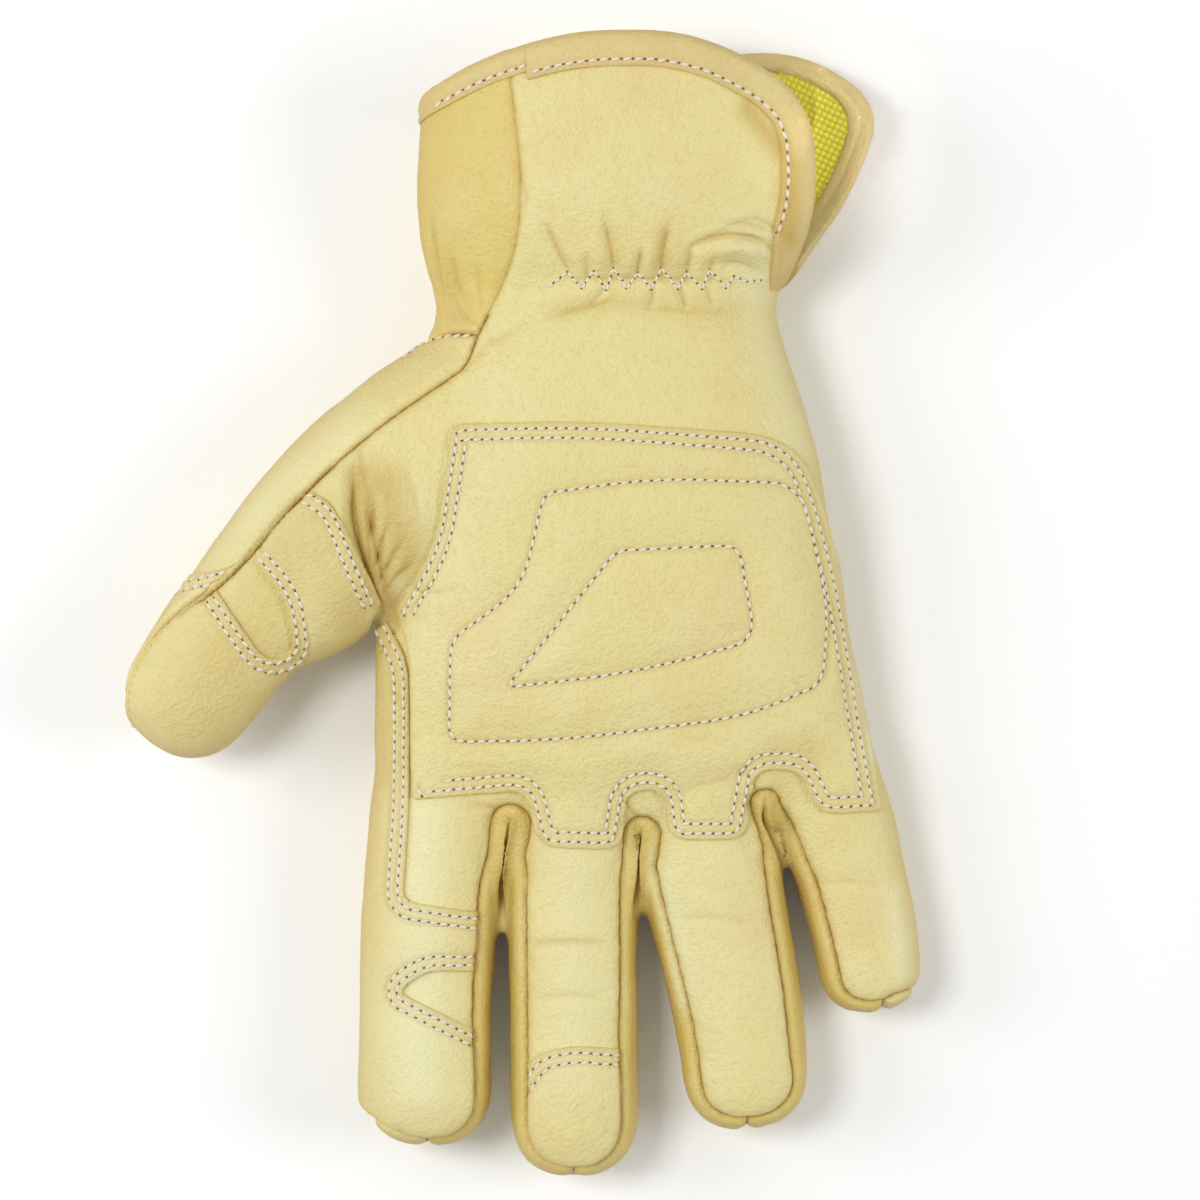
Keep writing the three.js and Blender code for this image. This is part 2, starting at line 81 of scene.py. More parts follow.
# The hand and cuff, as sections across the glove, in mm: side edges of the palm half, how far the back half's
# little-finger edge flares, top of the palm, underside of the back before it is flattened, and squareness.
BODY = table(
    ("y", "left", "right", "flare", "top", "floor", "square"),
    (150, -19.4, 79, 87.5, 46, 4.8, 2.3),
    (140, -20.8, 79, 87, 46, 3.6, 2.3),
    (104, -24, 79, 84.5, 45, -0.8, 2.3),
    (89, -24, 75, 77, 43, -1.8, 2.3),
    (79, -22.6, 66.2, 68, 39.8, -1, 2.3),
    (72.5, -20.8, 59.8, 60, 36.6, 1.5, 2.4),
    (66, -19.8, 59.4, 59.4, 36.8, 0.5, 2.4),
    (52, -25, 63.8, 63.8, 38.4, -1.5, 2.4),
    (33, -29, 69.5, 69.5, 38.8, -2, 2.5),
    (4, -32.6, 73.6, 73.6, 37.2, -2, 2.6),
    (-22, -33, 78, 78, 33.6, -2, 2.6),
    (-45, -32.2, 82.6, 82.6, 28.2, -1, 2.5),
    (-51, -28, 80, 80, 24, 3, 2.3),
)

# Fingers and thumb, in mm: axis point, half width and half thickness of each section.
INDEX = finger_form(
    13.5,
    (-16, -22, 15, 14.5, 12.5),
    (-18, -50, 13.6, 16.1, 14.3),
    (-20.7, -68, 13.4, 15, 14.1),
    (-21.6, -92, 14.4, 14.7, 13.5),
    (-21.8, -114, 16, 14.9, 12.5),
)
MIDDLE = finger_form(
    14.6,
    (11, -24, 15, 14, 12.5),
    (12, -52, 13.8, 16.1, 14.5),
    (12.1, -70, 13.6, 15.2, 14.3),
    (12, -96, 14.6, 15, 13.7),
    (12.2, -120, 16.2, 15.1, 12.7),
)
RING = finger_form(
    13,
    (38, -22, 15, 13.5, 12.5),
    (42.2, -52, 13.8, 16.7, 14.3),
    (45.2, -70, 13.6, 16.3, 14.1),
    (49.9, -92, 14.4, 15.4, 13.3),
    (52.3, -110.4, 15.8, 14.9, 12.3),
)
LITTLE = finger_form(
    11.2,
    (63, -20, 14.5, 12.5, 12),
    (72.2, -48, 13, 14, 13.1),
    (77.1, -63, 12.6, 12.8, 12.5),
    (80, -76, 12.8, 12.3, 11.9),
    (81.5, -85.5, 13.6, 11.9, 11.3),
)
THUMB = finger_form(
    13.1,
    (-4, 41, 21, 26.7, 15.5),
    (-19.2, 34.7, 21, 23.5, 16.1),
    (-36.2, 21.8, 21, 22.6, 16.1),
    (-52.3, 7.2, 20.5, 19.9, 15.5),
    (-65.9, -5.6, 20, 15.8, 14.7),
    (-77.2, -20.8, 20, 14, 13.5),
)
FINGERS = [INDEX, MIDDLE, RING, LITTLE]
BODY_SIDES = 72
FINGER_SIDES = 48
FINGER_RINGS = 24
CAP_TURNS = (12, 24, 36, 48, 59, 69, 78, 85)  # degrees round the tip, one ring each
CAP_TAPER = 0.72
FINGER_SQUARE = 2.35
PAD_SQUARE = 2.3

# Seams and edges seen from above, in mm: (x, y, rounding of the corner).
PAD_INSET = 3.7
TIP_RISE = 6
SIDE_SEAM = [(-150, 23), (-122, 12.5), (-110, 9.5), (-88, 9.2), (-50, 7.5), (-5, 11), (60, 17), (150, 21)]
GAPS = [[(-2, -48), (-4.8, -72)], [(28.4, -50), (26.8, -68)], [(56.4, -43), (57.4, -54), (62, -66)]]
CROTCHES = [(-2.4, -51.5, 4), (28.2, -54, 3.6), (56.6, -47, 3.4)]
FRONT_EDGE = [
    (-21.6, 117, 4), (-8, 123.2, 12), (12, 128.4, 14), (40, 128.6, 16), (66.2, 114, 18), (67.2, 89, 14),
    (59.6, 71.5, 3),
]
BACK_EDGE = [
    (-21.6, 115.4, 4), (-8, 121, 10), (20, 126.4, 14), (65.4, 129.3, 14), (84, 116.2, 14), (77.3, 97, 9),
    (59, 70.5, 2),
]
CUFF_SEAM = [(-2.4, 120, 3), (0.4, 98, 20), (-0.5, 80, 16), (-10, 61.5, 4)]
THUMB_SEAM = [
    (-12.5, 54, 3), (-33, 40, 20), (-51, 24, 16), (-66, 6, 16), (-84, -7, 12), (-92, -22, 10), (-88, -40, 4),
]
THUMB_TOP = [(-19, 62.2, 6), (-29, 57, 4)]
THUMB_ROOT = [(-12, 50, 6), (-20, 20, 14), (-28.5, -4, 4)]
THUMB_CROTCH = (-29, -6, 0)
FOURCHETTE_ENDS = (-22, 12.2, 52.5, 84.5)
PALM_PATCH = [
    (-15.5, 40.5, 3), (14, 41.2, 30), (64, 37.5, 12), (73.5, 8, 30), (83.2, -48.8, 1), (69, -49.4, 4),
    (64, -39, 3), (54.5, -39, 3), (51.5, -55.2, 4), (34.5, -55.2, 4), (33, -43.4, 4), (24.8, -43.4, 4),
    (22.5, -57.6, 4), (4.5, -56.8, 4), (1, -43.6, 4), (-25, -46, 0.5), (-25, -12, 6), (-28.5, -2, 1),
    (-20, 12, 14),
]
PALM_LOOP = [
    (5.5, 24.5, 3), (30, 28, 30), (64.5, 27, 8), (71, -2, 14), (69.5, -19, 4), (52, -26.5, 16), (10, -32, 30),
    (-16.5, -32.5, 4), (-16, -9, 4), (0.5, 3, 8),
]
PALM_INNER_LOOP = [
    (22, 11.5, 3), (50, 12.8, 4), (54, -9, 6), (26, -16.5, 30), (-3, -19.8, 2),
]
INDEX_PATCH_EDGE = [(-30.8, -4.6, 1), (-25.6, -14, 6), (-25.6, -46, 8), (-27.2, -69.5, 3), (-9.5, -72.2, 0.5)]
INDEX_CUTOUT = [(-4, -86.2, 0.5), (-22, -85.4, 4), (-28.4, -90.4, 2.6), (-4, -103, 0.5)]
THUMB_PATCH_EDGE = [(-48.4, 26, 0.5), (-42, 22, 8), (-32.6, -0.5, 0.5)]
THUMB_CUTOUT = [(-64.5, 12.6, 0.5), (-53.5, 0.5, 12), (-52.5, -12, 5), (-59, -13.5, 4), (-70.5, 3.5, 0.5)]
THUMB_BACK_TIP = [(-62, 11, 0.5), (-69, 7.4, 6), (-80, 6.2, 4), (-99, -2, 1)]
MIDDLE_TIP = [(-1, -111.5, 0), (3.5, -104.8, 6), (12, -102.6, 8), (23.5, -103.8, 0)]
THUMB_TOP_ROW = [(-27.6, 56.4, 0), (-23, 59.8, 4), (-18, 61.2, 4), (-11.4, 61, 0)]
ZIGZAG = [
    (6.1, 71.8), (10.8, 75.4), (14, 71.6), (16.8, 75.6), (19.7, 71.1), (21.3, 76.3), (24.3, 71.6),
    (26.9, 75.3), (30, 71.4), (32.3, 76.3), (36, 71.6), (38.1, 75.4), (41.7, 71.6), (43.3, 76.1),
    (47.3, 71.8), (48.9, 74.6), (52.2, 73.4), (55.4, 73.8),
]

FOLD_CORE = 0.45  # mm, half the width of the sharp bottom of a fold

# Folds that the photo shows: how deep and how wide in mm, and where. A negative depth makes a ridge.
FOLDS = plan_lines(
    "deep",
    (2.8, 1.3, (-37.6, 35), (-38.4, 27), (-38.6, 19), (-36.3, 10), (-33.6, 2), (-30.6, -6)),
    (3, 4.5, (-36.5, 27), (-34, 16), (-31.6, 6), (-30, -4)),
    (0.7, 0.8, (-32.5, -1), (-28.5, 5), (-23.6, 10)),
    (0.8, 0.8, (-33.5, 0), (-30, 8), (-26, 15.5)),
    (0.8, 0.8, (-34, 2), (-32, 12), (-29, 21)),
    (0.8, 0.8, (-35, 4), (-34.6, 15), (-32.5, 27)),
    (0.6, 0.9, (-37.5, 38), (-36, 31), (-35, 24)),
    (0.45, 1.3, (-27, 33), (-23.5, 24), (-23, 16)),
    (2.4, 0.6, (-2, -47), (-2.8, -52), (-4, -58.5), (-5, -66), (-4.6, -76)),
    (2.4, 0.6, (28.4, -50), (28, -54.5), (27.2, -60), (26.8, -66), (26.8, -76)),
    (2.4, 0.6, (56.6, -43), (56.3, -47), (56, -50.5), (57.6, -55.5), (62, -66)),
    (-1.7, 2.2, (-1.6, -45), (-2.6, -52), (-4, -60), (-4.8, -70)),
    (-1.7, 2.2, (28.6, -47), (28, -54), (27, -61), (26.8, -70)),
    (-1.7, 2.2, (56.8, -40), (56.4, -47), (57.4, -54), (61, -64)),
    (0.4, 1, (-3.6, -50), (-8, -47.6), (-13, -47)),
    (0.4, 0.9, (27.5, -52), (24, -47), (22, -41)),
    (0.6, 0.9, (55.5, -46), (52, -40), (47, -37)),
    (0.9, 1.1, (-21.4, 92), (-20.8, 83), (-19, 73), (-17, 65)),
    (0.6, 1.1, (-16, 82), (-15.4, 74), (-12.6, 67)),
    (0.35, 1.3, (-10, 78), (-9.6, 70), (-8, 64)),
    (0.6, 1.2, (-34, -14), (-30, -9), (-28, -3)),
    (0.4, 1.2, (-27.4, 4), (-20, 1.4), (-12, 3.6)),
    (0.8, 1.5, (5.2, 88), (8, 81), (10.8, 75.6), (12, 72)),
    (0.5, 1.1, (14.6, 80.5), (15.6, 75.8), (14.4, 71)),
    (0.95, 1.25, (18.8, 88.5), (20.6, 80.7), (21.4, 76.3), (21, 72.6)),
    (0.85, 1.1, (27.8, 81.5), (26.9, 75.3), (26.2, 72)),
    (1.2, 1.3, (34.4, 87.5), (32.6, 79.6), (32.2, 76.3), (32.6, 71.5)),
    (0.8, 1.1, (39.6, 82), (38.1, 75.5), (38.4, 71)),
    (0.6, 1.1, (45, 79.5), (43.3, 76), (44.2, 71.5)),
    (0.85, 0.9, (36, 77.6), (39, 80.6), (43.1, 82.6), (49, 83.8), (55, 82.6), (61, 78.4)),
    (-0.75, 2, (40, 77.4), (45, 80), (50, 81), (57, 78.6)),
    (0.5, 1.3, (44, 77), (50, 77.6), (57, 75)),
    (0.5, 0.8, (45, 84.8), (51, 86.4), (58.6, 84)),
    (0.4, 0.8, (50, 87.4), (56, 87), (61.4, 83)),
    (0.35, 0.6, (47.5, 81.6), (52, 83.2), (56.5, 82)),
    (0.6, 1.1, (19.7, 73), (18.3, 70), (15.3, 67.2)),
    (0.9, 1.5, (24.3, 73), (21.6, 69.4), (11.2, 66.6), (4, 64.5)),
    (0.75, 1.1, (30, 73.2), (30.6, 69.7), (28.8, 66.2)),
    (0.75, 1.1, (36, 73.4), (37.7, 69), (38.4, 65.8)),
    (0.5, 1.1, (42, 73), (43.6, 69.5), (44.8, 67)),
    (0.75, 2.6, (6, 73.6), (28, 73.6), (51, 73.4)),
    (0.7, 2.6, (24, 67.4), (38, 66.6), (53, 66.4)),
    (0.5, 2.6, (3, 64.6), (-6, 60), (-14, 52)),
    (0.7, 2.2, (-17, 72.5), (-14, 66), (-8, 63)),
    (0.4, 2.2, (-3, 104), (0.5, 96), (2, 86)),
    (0.55, 1.2, (-1.5, -79.8), (10, -78.6), (22.5, -79.4)),
    (0.28, 1.4, (1, -92.4), (11, -91), (21, -92.2)),
    (0.3, 1.4, (34.5, -74), (45, -73), (56, -75)),
    (0.3, 1.6, (-31, -74), (-21, -75.4), (-11, -75)),
    (0.3, 1.5, (66, -66), (76, -65), (86, -66)),
    (0.5, 2.2, (69.7, -31.4), (51, -39.5), (27.6, -46)),
    (0.35, 2.6, (52, -34), (43, -31), (30, -34)),
)

# Places painted darker as shade, in the folds, the crotches, the hollows and on sides turned from the light:
# how strong, how wide in mm, and where.
PAINTED_SHADE_LINES = plan_lines(
    "strong",
    (1, 3.6, (-36.6, 29), (-34.6, 15), (-31.6, 3), (-29, -4)),
    (0.6, 2.6, (-31, -2), (-28.6, -22)),
    (0.9, 1.5, (-2.6, -51), (-4.6, -70)),
    (0.9, 1.5, (28, -53), (26.8, -70)),
    (0.9, 1.5, (56.4, -46), (58, -56), (62, -66)),
    (0.3, 2.6, (8, 67), (26, 68.6), (50, 67)),
    (0.5, 2.2, (33, 84), (32.4, 76)),
    (0.35, 1.8, (20.4, 84), (21.2, 77)),
    (0.45, 4, (-19, 80), (-16, 66)),
    (1, 2.6, (52, 112), (61.5, 100), (61, 84)),
    (0.3, 5, (60, -40), (66, -36)),
    (0.85, 5, (-31, 27), (-26, 8)),
    (0.45, 10, (-48, 18), (-62, -4), (-76, -24)),
    (0.8, 3, (-33, -10), (-36, -40), (-37, -70)),
    (0.55, 3, (-31, -14), (-31.5, -42)),
    (0.45, 7, (-46, 12), (-40, -2)),
)

# Places painted paler as highlight, where the light falls strongest, in the same form.
PAINTED_HIGHLIGHT_LINES = plan_lines(
    "strong",
    (0.75, 7, (-23, -50), (-23, -112)),
    (0.45, 8, (12, -60), (12, -108)),
    (0.6, 3, (32, -62), (38, -92)),
    (1, 5, (76, 20), (79, -6), (82, -34)),
    (0.5, 6, (-40, 40), (-80, 2)),
    (1, 3, (-92, -12), (-94, -30)),
    (0.6, 4, (87, -68), (89, -86)),
    (0.6, 6, (54, 80), (59, 60), (66, 38)),
)

WALL = 2.0  # mm, the lined leather
LUMPS = [(0.5, 30, 1), (0.3, 11, 2), (0.09, 4.2, 3)]  # the leather's unevenness: height, size in mm, seed
FINE_SEAM = 2.3  # mm beside a seam that are refined
FINE_FOLD = 2.8  # mm beside a narrow fold that are refined once
FINEST_FOLD = 1.3  # mm beside a narrow fold that are refined twice
LINING_DEPTH = (-2.15, -2.95)  # mm under the leather's face, the lining's two faces
LINING_START = 56  # y in mm

# The binding, in mm: the y where it starts, how far it stands past the cuff's edge, how deep it reaches in,
# how far its stitches are from its own edge, the length of its fold's rounding, the x of its joint, and its
# two widths.
BINDING = {
    "start": 71.5, "past": 1.3, "in": -4.1, "stitch": 1.4, "fold": 2.6, "joint": 1.9,
    "wide": 7, "narrow": 5.2,
}

# Rows of stitches, in mm from one stitch to the next.
ROW_PITCH = 2.3
LOOP_PITCH = 2.45
CUFF_PITCH = 2.6
ZIGZAG_PITCH = 1.7
TIP_PITCH = 2
# Each needle hole gets a dark bead of painted shade of this size.
HOLE = (0.46, 0.34, 0.2)  # mm, half the size of a needle hole
BEAD_BATCH = 40  # stitches that are made at a time


class GloveLeather(bpy.types.PropertyGroup):
    """Colours of the glove's leather."""

    main: bpy.props.StringProperty(name="Main", description="Colour of the main leather", default="E2D694")
    # The side colour is a darker copy of the main leather: painted shade for the side pieces that lie in
    # shade.
    side: bpy.props.StringProperty(name="Side", description="Colour of the side pieces", default="DAC570")
    warm: bpy.props.StringProperty(name="Warm", description="Colour of its warmer patches", default="E2C684")
    # The pale colour tints the paler random patches and also the painted highlights.
    pale: bpy.props.StringProperty(name="Pale", description="Colour of its paler patches", default="E8E6B4")
    # The deep colour tints the fine grain's specks and also the painted shade in folds, creases and on turned
    # sides.
    deep: bpy.props.StringProperty(name="Deep", description="Colour in folds and at sides", default="C19D46")
    overlay: bpy.props.StringProperty(name="Overlay", description="Colour of the patches", default="E1D493")
    edging: bpy.props.StringProperty(name="Edging", description="Colour of the binding", default="D7C384")


class GloveThread(bpy.types.PropertyGroup):
    """Sizes and colours of the sewing thread and the lining's weave."""

    length: bpy.props.FloatProperty(
        name="Stitch", description="Length of the thread that shows", default=1.95 * MM, unit="LENGTH"
    )
    width: bpy.props.FloatProperty(
        name="Width", description="Width of the thread", default=0.85 * MM, unit="LENGTH"
    )
    thread: bpy.props.StringProperty(name="Thread", description="Colour of the thread", default="E4DCCB")
    weave: bpy.props.StringProperty(name="Weave", description="Colour of the woven lining", default="FFF65E")


# Plan curves


def smooth_table(rows, names, stops):
    """Columns of a table at stops counted in rows, along a smooth curve through the rows."""
    values = np.array([[row[name] for name in names] for row in rows], float)
    last = len(rows) - 1
    stops = np.clip(np.asarray(stops, float), 0, last)
    i = np.minimum(stops.astype(int), last - 1)
    t = (stops - i)[:, None]
    before = values[np.maximum(i - 1, 0)]
    here = values[i]
    after = values[i + 1]
    beyond = values[np.minimum(i + 2, last)]
    return 0.5 * (
        2 * here
        + (after - before) * t
        + (2 * before - 5 * here + 4 * after - beyond) * t**2
        + (3 * here - before - 3 * after + beyond) * t**3
    )


def rounded(corners, closed=False, steps=8):
    """Points of a line of corners (x, y, r), each rounded by its r. An open line keeps its ends."""
    points = []
    count = len(corners)
    for i, (x, y, r) in enumerate(corners):
        here = np.array([x, y], float)
        if not closed and i in (0, count - 1):
            points.append(here)
            continue
        before = np.array(corners[i - 1][:2], float) - here
        after = np.array(corners[(i + 1) % count][:2], float) - here
        reach = min(r, np.linalg.norm(before) * 0.48, np.linalg.norm(after) * 0.48)
        start = here + before / np.linalg.norm(before) * reach
        end = here + after / np.linalg.norm(after) * reach
        for t in np.linspace(0, 1, steps):
            points.append((1 - t) ** 2 * start + 2 * t * (1 - t) * here + t**2 * end)
    return np.array(points)


def rounder(value, square):
    return np.sign(value) * np.abs(value) ** (2 / square)


def unit_rows(vectors):
    return vectors / (np.linalg.norm(vectors, axis=1)[:, None] + 1e-9)


def pad_seam(finger, inset=PAD_INSET, start=1.4):
    """The seam round a finger's palm face, from its thumb side over the tip to its other side."""
    last = len(finger["rows"]) - 1
    stops = np.linspace(start, last, 12)[:-1]
    sized = smooth_table(finger["rows"], ("x", "y", "half"), stops)
    ahead = smooth_table(finger["rows"], ("x", "y"), stops + 0.01)
    behind = smooth_table(finger["rows"], ("x", "y"), stops - 0.01)
    along = ahead - behind
    along /= np.linalg.norm(along, axis=1)[:, None]
    across = np.stack([along[:, 1], -along[:, 0]], 1)
    reach = (sized[:, 2] - inset)[:, None]
    first = sized[:, :2] + across * reach
    second = sized[:, :2] - across * reach
    end = smooth_table(finger["rows"], ("x", "y", "half"), [last])[0]
    tangent = end[:2] - smooth_table(finger["rows"], ("x", "y"), [last - 0.01])[0]
    tangent /= np.linalg.norm(tangent)
    side = np.array([tangent[1], -tangent[0]])
    angles = np.radians(np.arange(0, 181, 10))
    wide = (end[2] - inset) * rounder(np.cos(angles), PAD_SQUARE)
    far = (finger["cap"] - inset + 0.7) * rounder(np.sin(angles), PAD_SQUARE)
    tip = end[:2] + side * wide[:, None] + tangent * far[:, None]
    return first, tip, second[::-1]


def crotch_seam(x, y, r):
    angles = np.radians(np.arange(180, -1, -15))
    return np.stack([x + r * np.cos(angles), y + r * np.sin(angles)], 1)


def palm_outline():
    """Plan of the palm piece: cuff, palm, and the palm faces of the thumb and fingers."""
    index, middle, ring, little = (pad_seam(finger) for finger in FINGERS)
    index_tip = np.concatenate([index[1][6:], index[2]])
    little_tip = np.concatenate([little[0], little[1][:13]])
    return np.concatenate([
        [(-2.4, FAR)],
        rounded(CUFF_SEAM + THUMB_SEAM),
        [(-70, -60), (-44, -40), (-44, index_tip[0][1] + TIP_RISE)],
        index_tip,
        crotch_seam(*CROTCHES[0]),
        *middle,
        crotch_seam(*CROTCHES[1]),
        *ring,
        crotch_seam(*CROTCHES[2]),
        little_tip,
        [(110, little_tip[-1][1] + TIP_RISE), (110, FAR)],
    ])


def thumb_outline():
    return np.concatenate([
        rounded([(-10.3, 61, 0), *THUMB_ROOT, THUMB_CROTCH]),
        [(-45, -60), (-120, -60), (-120, 54)],
        rounded([*reversed(THUMB_TOP), (-10.6, 61.4, 0)]),
    ])


def cuff_outline(edge):
    """Everything on the hand's side of one edge of the cuff."""
    x, y, _ = edge[0]
    return np.concatenate([
        [(-FAR, -FAR), (FAR, -FAR), (FAR, 68)],
        rounded([*reversed(edge), (x - 8, y - 3, 1)]),
        [(-FAR, y - 6)],
    ])


def line_distance(points, line, closed=False):
    """Distance in plan from each point to a line, and how far along the line its nearest place is."""
    line = np.asarray(line, float)
    ends = np.roll(line, -1, 0) if closed else line[1:]
    starts = line if closed else line[:-1]
    spans = ends - starts
    lengths = np.linalg.norm(spans, axis=1)
    keep = lengths > 1e-6
    starts, spans, lengths = starts[keep], spans[keep], lengths[keep]
    done = np.concatenate([[0], np.cumsum(lengths)])[:-1]
    distance = np.empty(len(points))
    place = np.empty(len(points))
    for first in range(0, len(points), BATCH):
        some = points[first:first + BATCH, None, :2] - starts[None]
        share = np.clip((some * spans).sum(2) / lengths**2, 0, 1)
        gap = np.linalg.norm(some - share[..., None] * spans, axis=2)
        nearest = gap.argmin(1)
        rows = np.arange(len(nearest))
        distance[first:first + BATCH] = gap[rows, nearest]
        place[first:first + BATCH] = done[nearest] + share[rows, nearest] * lengths[nearest]
    return distance, place


def box_round(points, line, margin):
    """True for the points in the box round a plan line."""
    return np.all((points[:, :2] > line.min(0) - margin) & (points[:, :2] < line.max(0) + margin), axis=1)


def inside(points, outline):
    """True for each point that a closed outline holds, seen from above."""
    x, y = points[:, 0], points[:, 1]
    result = np.zeros(len(points), bool)
    for (x0, y0), (x1, y1) in zip(outline, np.roll(outline, -1, 0)):
        if y0 == y1:
            continue
        spans = (y0 > y) != (y1 > y)
        result ^= spans & (x < (x1 - x0) * (y - y0) / (y1 - y0) + x0)
    return result


def signed(points, outline):
    """Distance in plan to a closed outline, positive inside."""
    distance, _ = line_distance(points, outline, closed=True)
    return np.where(inside(points, outline), distance, -distance)


def above_seam(points):
    """Height above the side seam between the palm half and the back half."""
    table = np.array(SIDE_SEAM, float)
    return points[:, 2] - np.interp(points[:, 1], table[:, 0], table[:, 1])


# Skins


def add_rings(bm, rings):
    """Bridges rings of points into one closed skin."""
    loops = []
    for ring in rings:
        made = bmesh.ops.create_circle(bm, segments=len(ring), radius=1)["verts"]
        for vert, spot in zip(made, ring):
            vert.co = spot
        loops.append(list({edge for vert in made for edge in vert.link_edges}))
    for near, far in zip(loops, loops[1:]):
        bmesh.ops.bridge_loops(bm, edges=near + far)
    bmesh.ops.edgeloop_fill(bm, edges=loops[0])
    bmesh.ops.edgeloop_fill(bm, edges=loops[-1])


def body_rings(flared, steps=4):
    stops = np.linspace(0, len(BODY) - 1, (len(BODY) - 1) * steps + 1)
    names = ("y", "left", "flare" if flared else "right", "top", "floor", "square")
    angles = np.linspace(0, 2 * math.pi, BODY_SIDES, endpoint=False)
    rings = []
    for y, left, right, top, floor, square in smooth_table(BODY, names, stops):
        x = (left + right) / 2 + (right - left) / 2 * rounder(np.cos(angles), square)
        z = (top + floor) / 2 + (top - floor) / 2 * rounder(np.sin(angles), square)
        rings.append(np.stack([x, np.full(BODY_SIDES, y), z], 1))
    return rings


def finger_rings(finger):
    last = len(finger["rows"]) - 1
    names = ("x", "y", "z", "half", "rise")
    angles = np.linspace(0, 2 * math.pi, FINGER_SIDES, endpoint=False)
    stops = [(stop, 0) for stop in np.linspace(0, last, FINGER_RINGS)]
    stops += [(last, math.radians(degrees)) for degrees in CAP_TURNS]
    rings = []
    for stop, turn in stops:
        x, y, z, half, rise = smooth_table(finger["rows"], names, [stop])[0]
        ahead = smooth_table(finger["rows"], names[:3], [min(stop + 0.02, last)])[0]
        behind = smooth_table(finger["rows"], names[:3], [max(min(stop, last) - 0.02, 0)])[0]
        tangent = (ahead - behind) / np.linalg.norm(ahead - behind)
        wide = np.cross((0, 0, 1), tangent)
        wide /= np.linalg.norm(wide)
        high = np.cross(tangent, wide)
        taper = math.cos(turn) ** CAP_TAPER
        centre = np.array([x, y, z]) + tangent * finger["cap"] * math.sin(turn)
        across = rounder(np.cos(angles), FINGER_SQUARE)[:, None] * half * taper
        up = rounder(np.sin(angles), FINGER_SQUARE)[:, None] * rise * taper
        rings.append(centre + across * wide + up * high)
    return rings


def soften(bm, passes, verts=None):
    """Evens out the points of a skin, or only the ones that are given."""
    for _ in range(passes):
        bmesh.ops.smooth_vert(
            bm, verts=verts or bm.verts, factor=0.5, use_axis_x=True, use_axis_y=True, use_axis_z=True
        )


def closed_hand(flared):
    """A bmesh in mm of the whole closed hand: its forms are joined into one skin and softened."""
    bm = bmesh.new()
    add_rings(bm, body_rings(flared))
    for finger in (*FINGERS, THUMB):
        add_rings(bm, finger_rings(finger))
    bmesh.ops.recalc_face_normals(bm, faces=bm.faces)
    mesh = bpy.data.meshes.new("hand form")
    bm.to_mesh(mesh)
    bm.free()
    form = bpy.data.objects.new("hand form", mesh)
    bpy.context.scene.collection.objects.link(form)
    remesh = form.modifiers.new("one skin", "REMESH")
    remesh.mode = "VOXEL"
    remesh.voxel_size = VOXEL
    remesh.use_smooth_shade = True
    skin = bmesh.new()
    skin.from_mesh(form.evaluated_get(bpy.context.evaluated_depsgraph_get()).to_mesh())
    bpy.data.objects.remove(form)
    bpy.data.meshes.remove(mesh)
    soften(skin, 10)
    return skin


def refine(bm, near):
    """Halves the edges whose two ends a test of places accepts."""
    bm.verts.index_update()
    wanted = near(spots_of(bm))
    edges = [edge for edge in bm.edges if wanted[edge.verts[0].index] and wanted[edge.verts[1].index]]
    bmesh.ops.subdivide_edges(bm, edges=edges, cuts=1, use_grid_fill=True)
    wide = [face for face in bm.faces if len(face.verts) > 4]
    bmesh.ops.triangulate(bm, faces=wide)


def beside_folds(spots, wide):
    """True for the places near a narrow fold, on the side that faces up."""
    result = np.zeros(len(spots), bool)
    for fold in FOLDS:
        if fold["wide"] > 2:
            continue
        line = np.array(fold["line"], float)
        near = (spots[:, 2] > 12) & box_round(spots, line, wide)
        if near.any():
            result[near] |= line_distance(spots[near], line)[0] < wide
    return result


def spots_of(bm):
    return np.array([vert.co[:] for vert in bm.verts], float).reshape(-1, 3)


def normals_of(bm):
    return np.array([vert.normal[:] for vert in bm.verts], float)


def centres_of(bm):
    return np.array([face.calc_center_median()[:] for face in bm.faces], float).reshape(-1, 3)


def cut_line(bm, field, near=None):
    """Adds edges where a field of the place is zero, so that every face lies on one side of the line."""
    bm.verts.index_update()
    bm.verts.ensure_lookup_table()
    spots = spots_of(bm)
    allowed = np.ones(len(spots), bool) if near is None else near(spots)
    values = np.ones(len(spots))
    values[allowed] = field(spots[allowed])
    values[np.abs(values) < SNAP] = 0
    line = [bm.verts[i] for i in np.nonzero(allowed & (values == 0))[0]]
    edges = list(bm.edges)
    ends = np.array([(edge.verts[0].index, edge.verts[1].index) for edge in edges])
    first, second = values[ends[:, 0]], values[ends[:, 1]]
    crossing = (first * second < 0) & allowed[ends[:, 0]] & allowed[ends[:, 1]]
    for i in np.nonzero(crossing)[0]:
        share = abs(first[i]) / (abs(first[i]) + abs(second[i]))
        _, vert = bmesh.utils.edge_split(edges[i], edges[i].verts[0], share)
        line.append(vert)
    bmesh.ops.connect_verts(bm, verts=line)
    bm.verts.index_update()
    bm.faces.index_update()


def drop_faces(bm, doomed):
    """Deletes the faces that a mask marks, and what hangs on them alone."""
    bm.faces.ensure_lookup_table()
    bmesh.ops.delete(bm, geom=[bm.faces[i] for i in np.nonzero(doomed)[0]], context="FACES")
    bm.verts.index_update()
    bm.faces.index_update()


PALM, SIDE, THUMB_BACK, BACK, STRIP_1, STRIP_2, STRIP_3, HIDDEN = range(8)


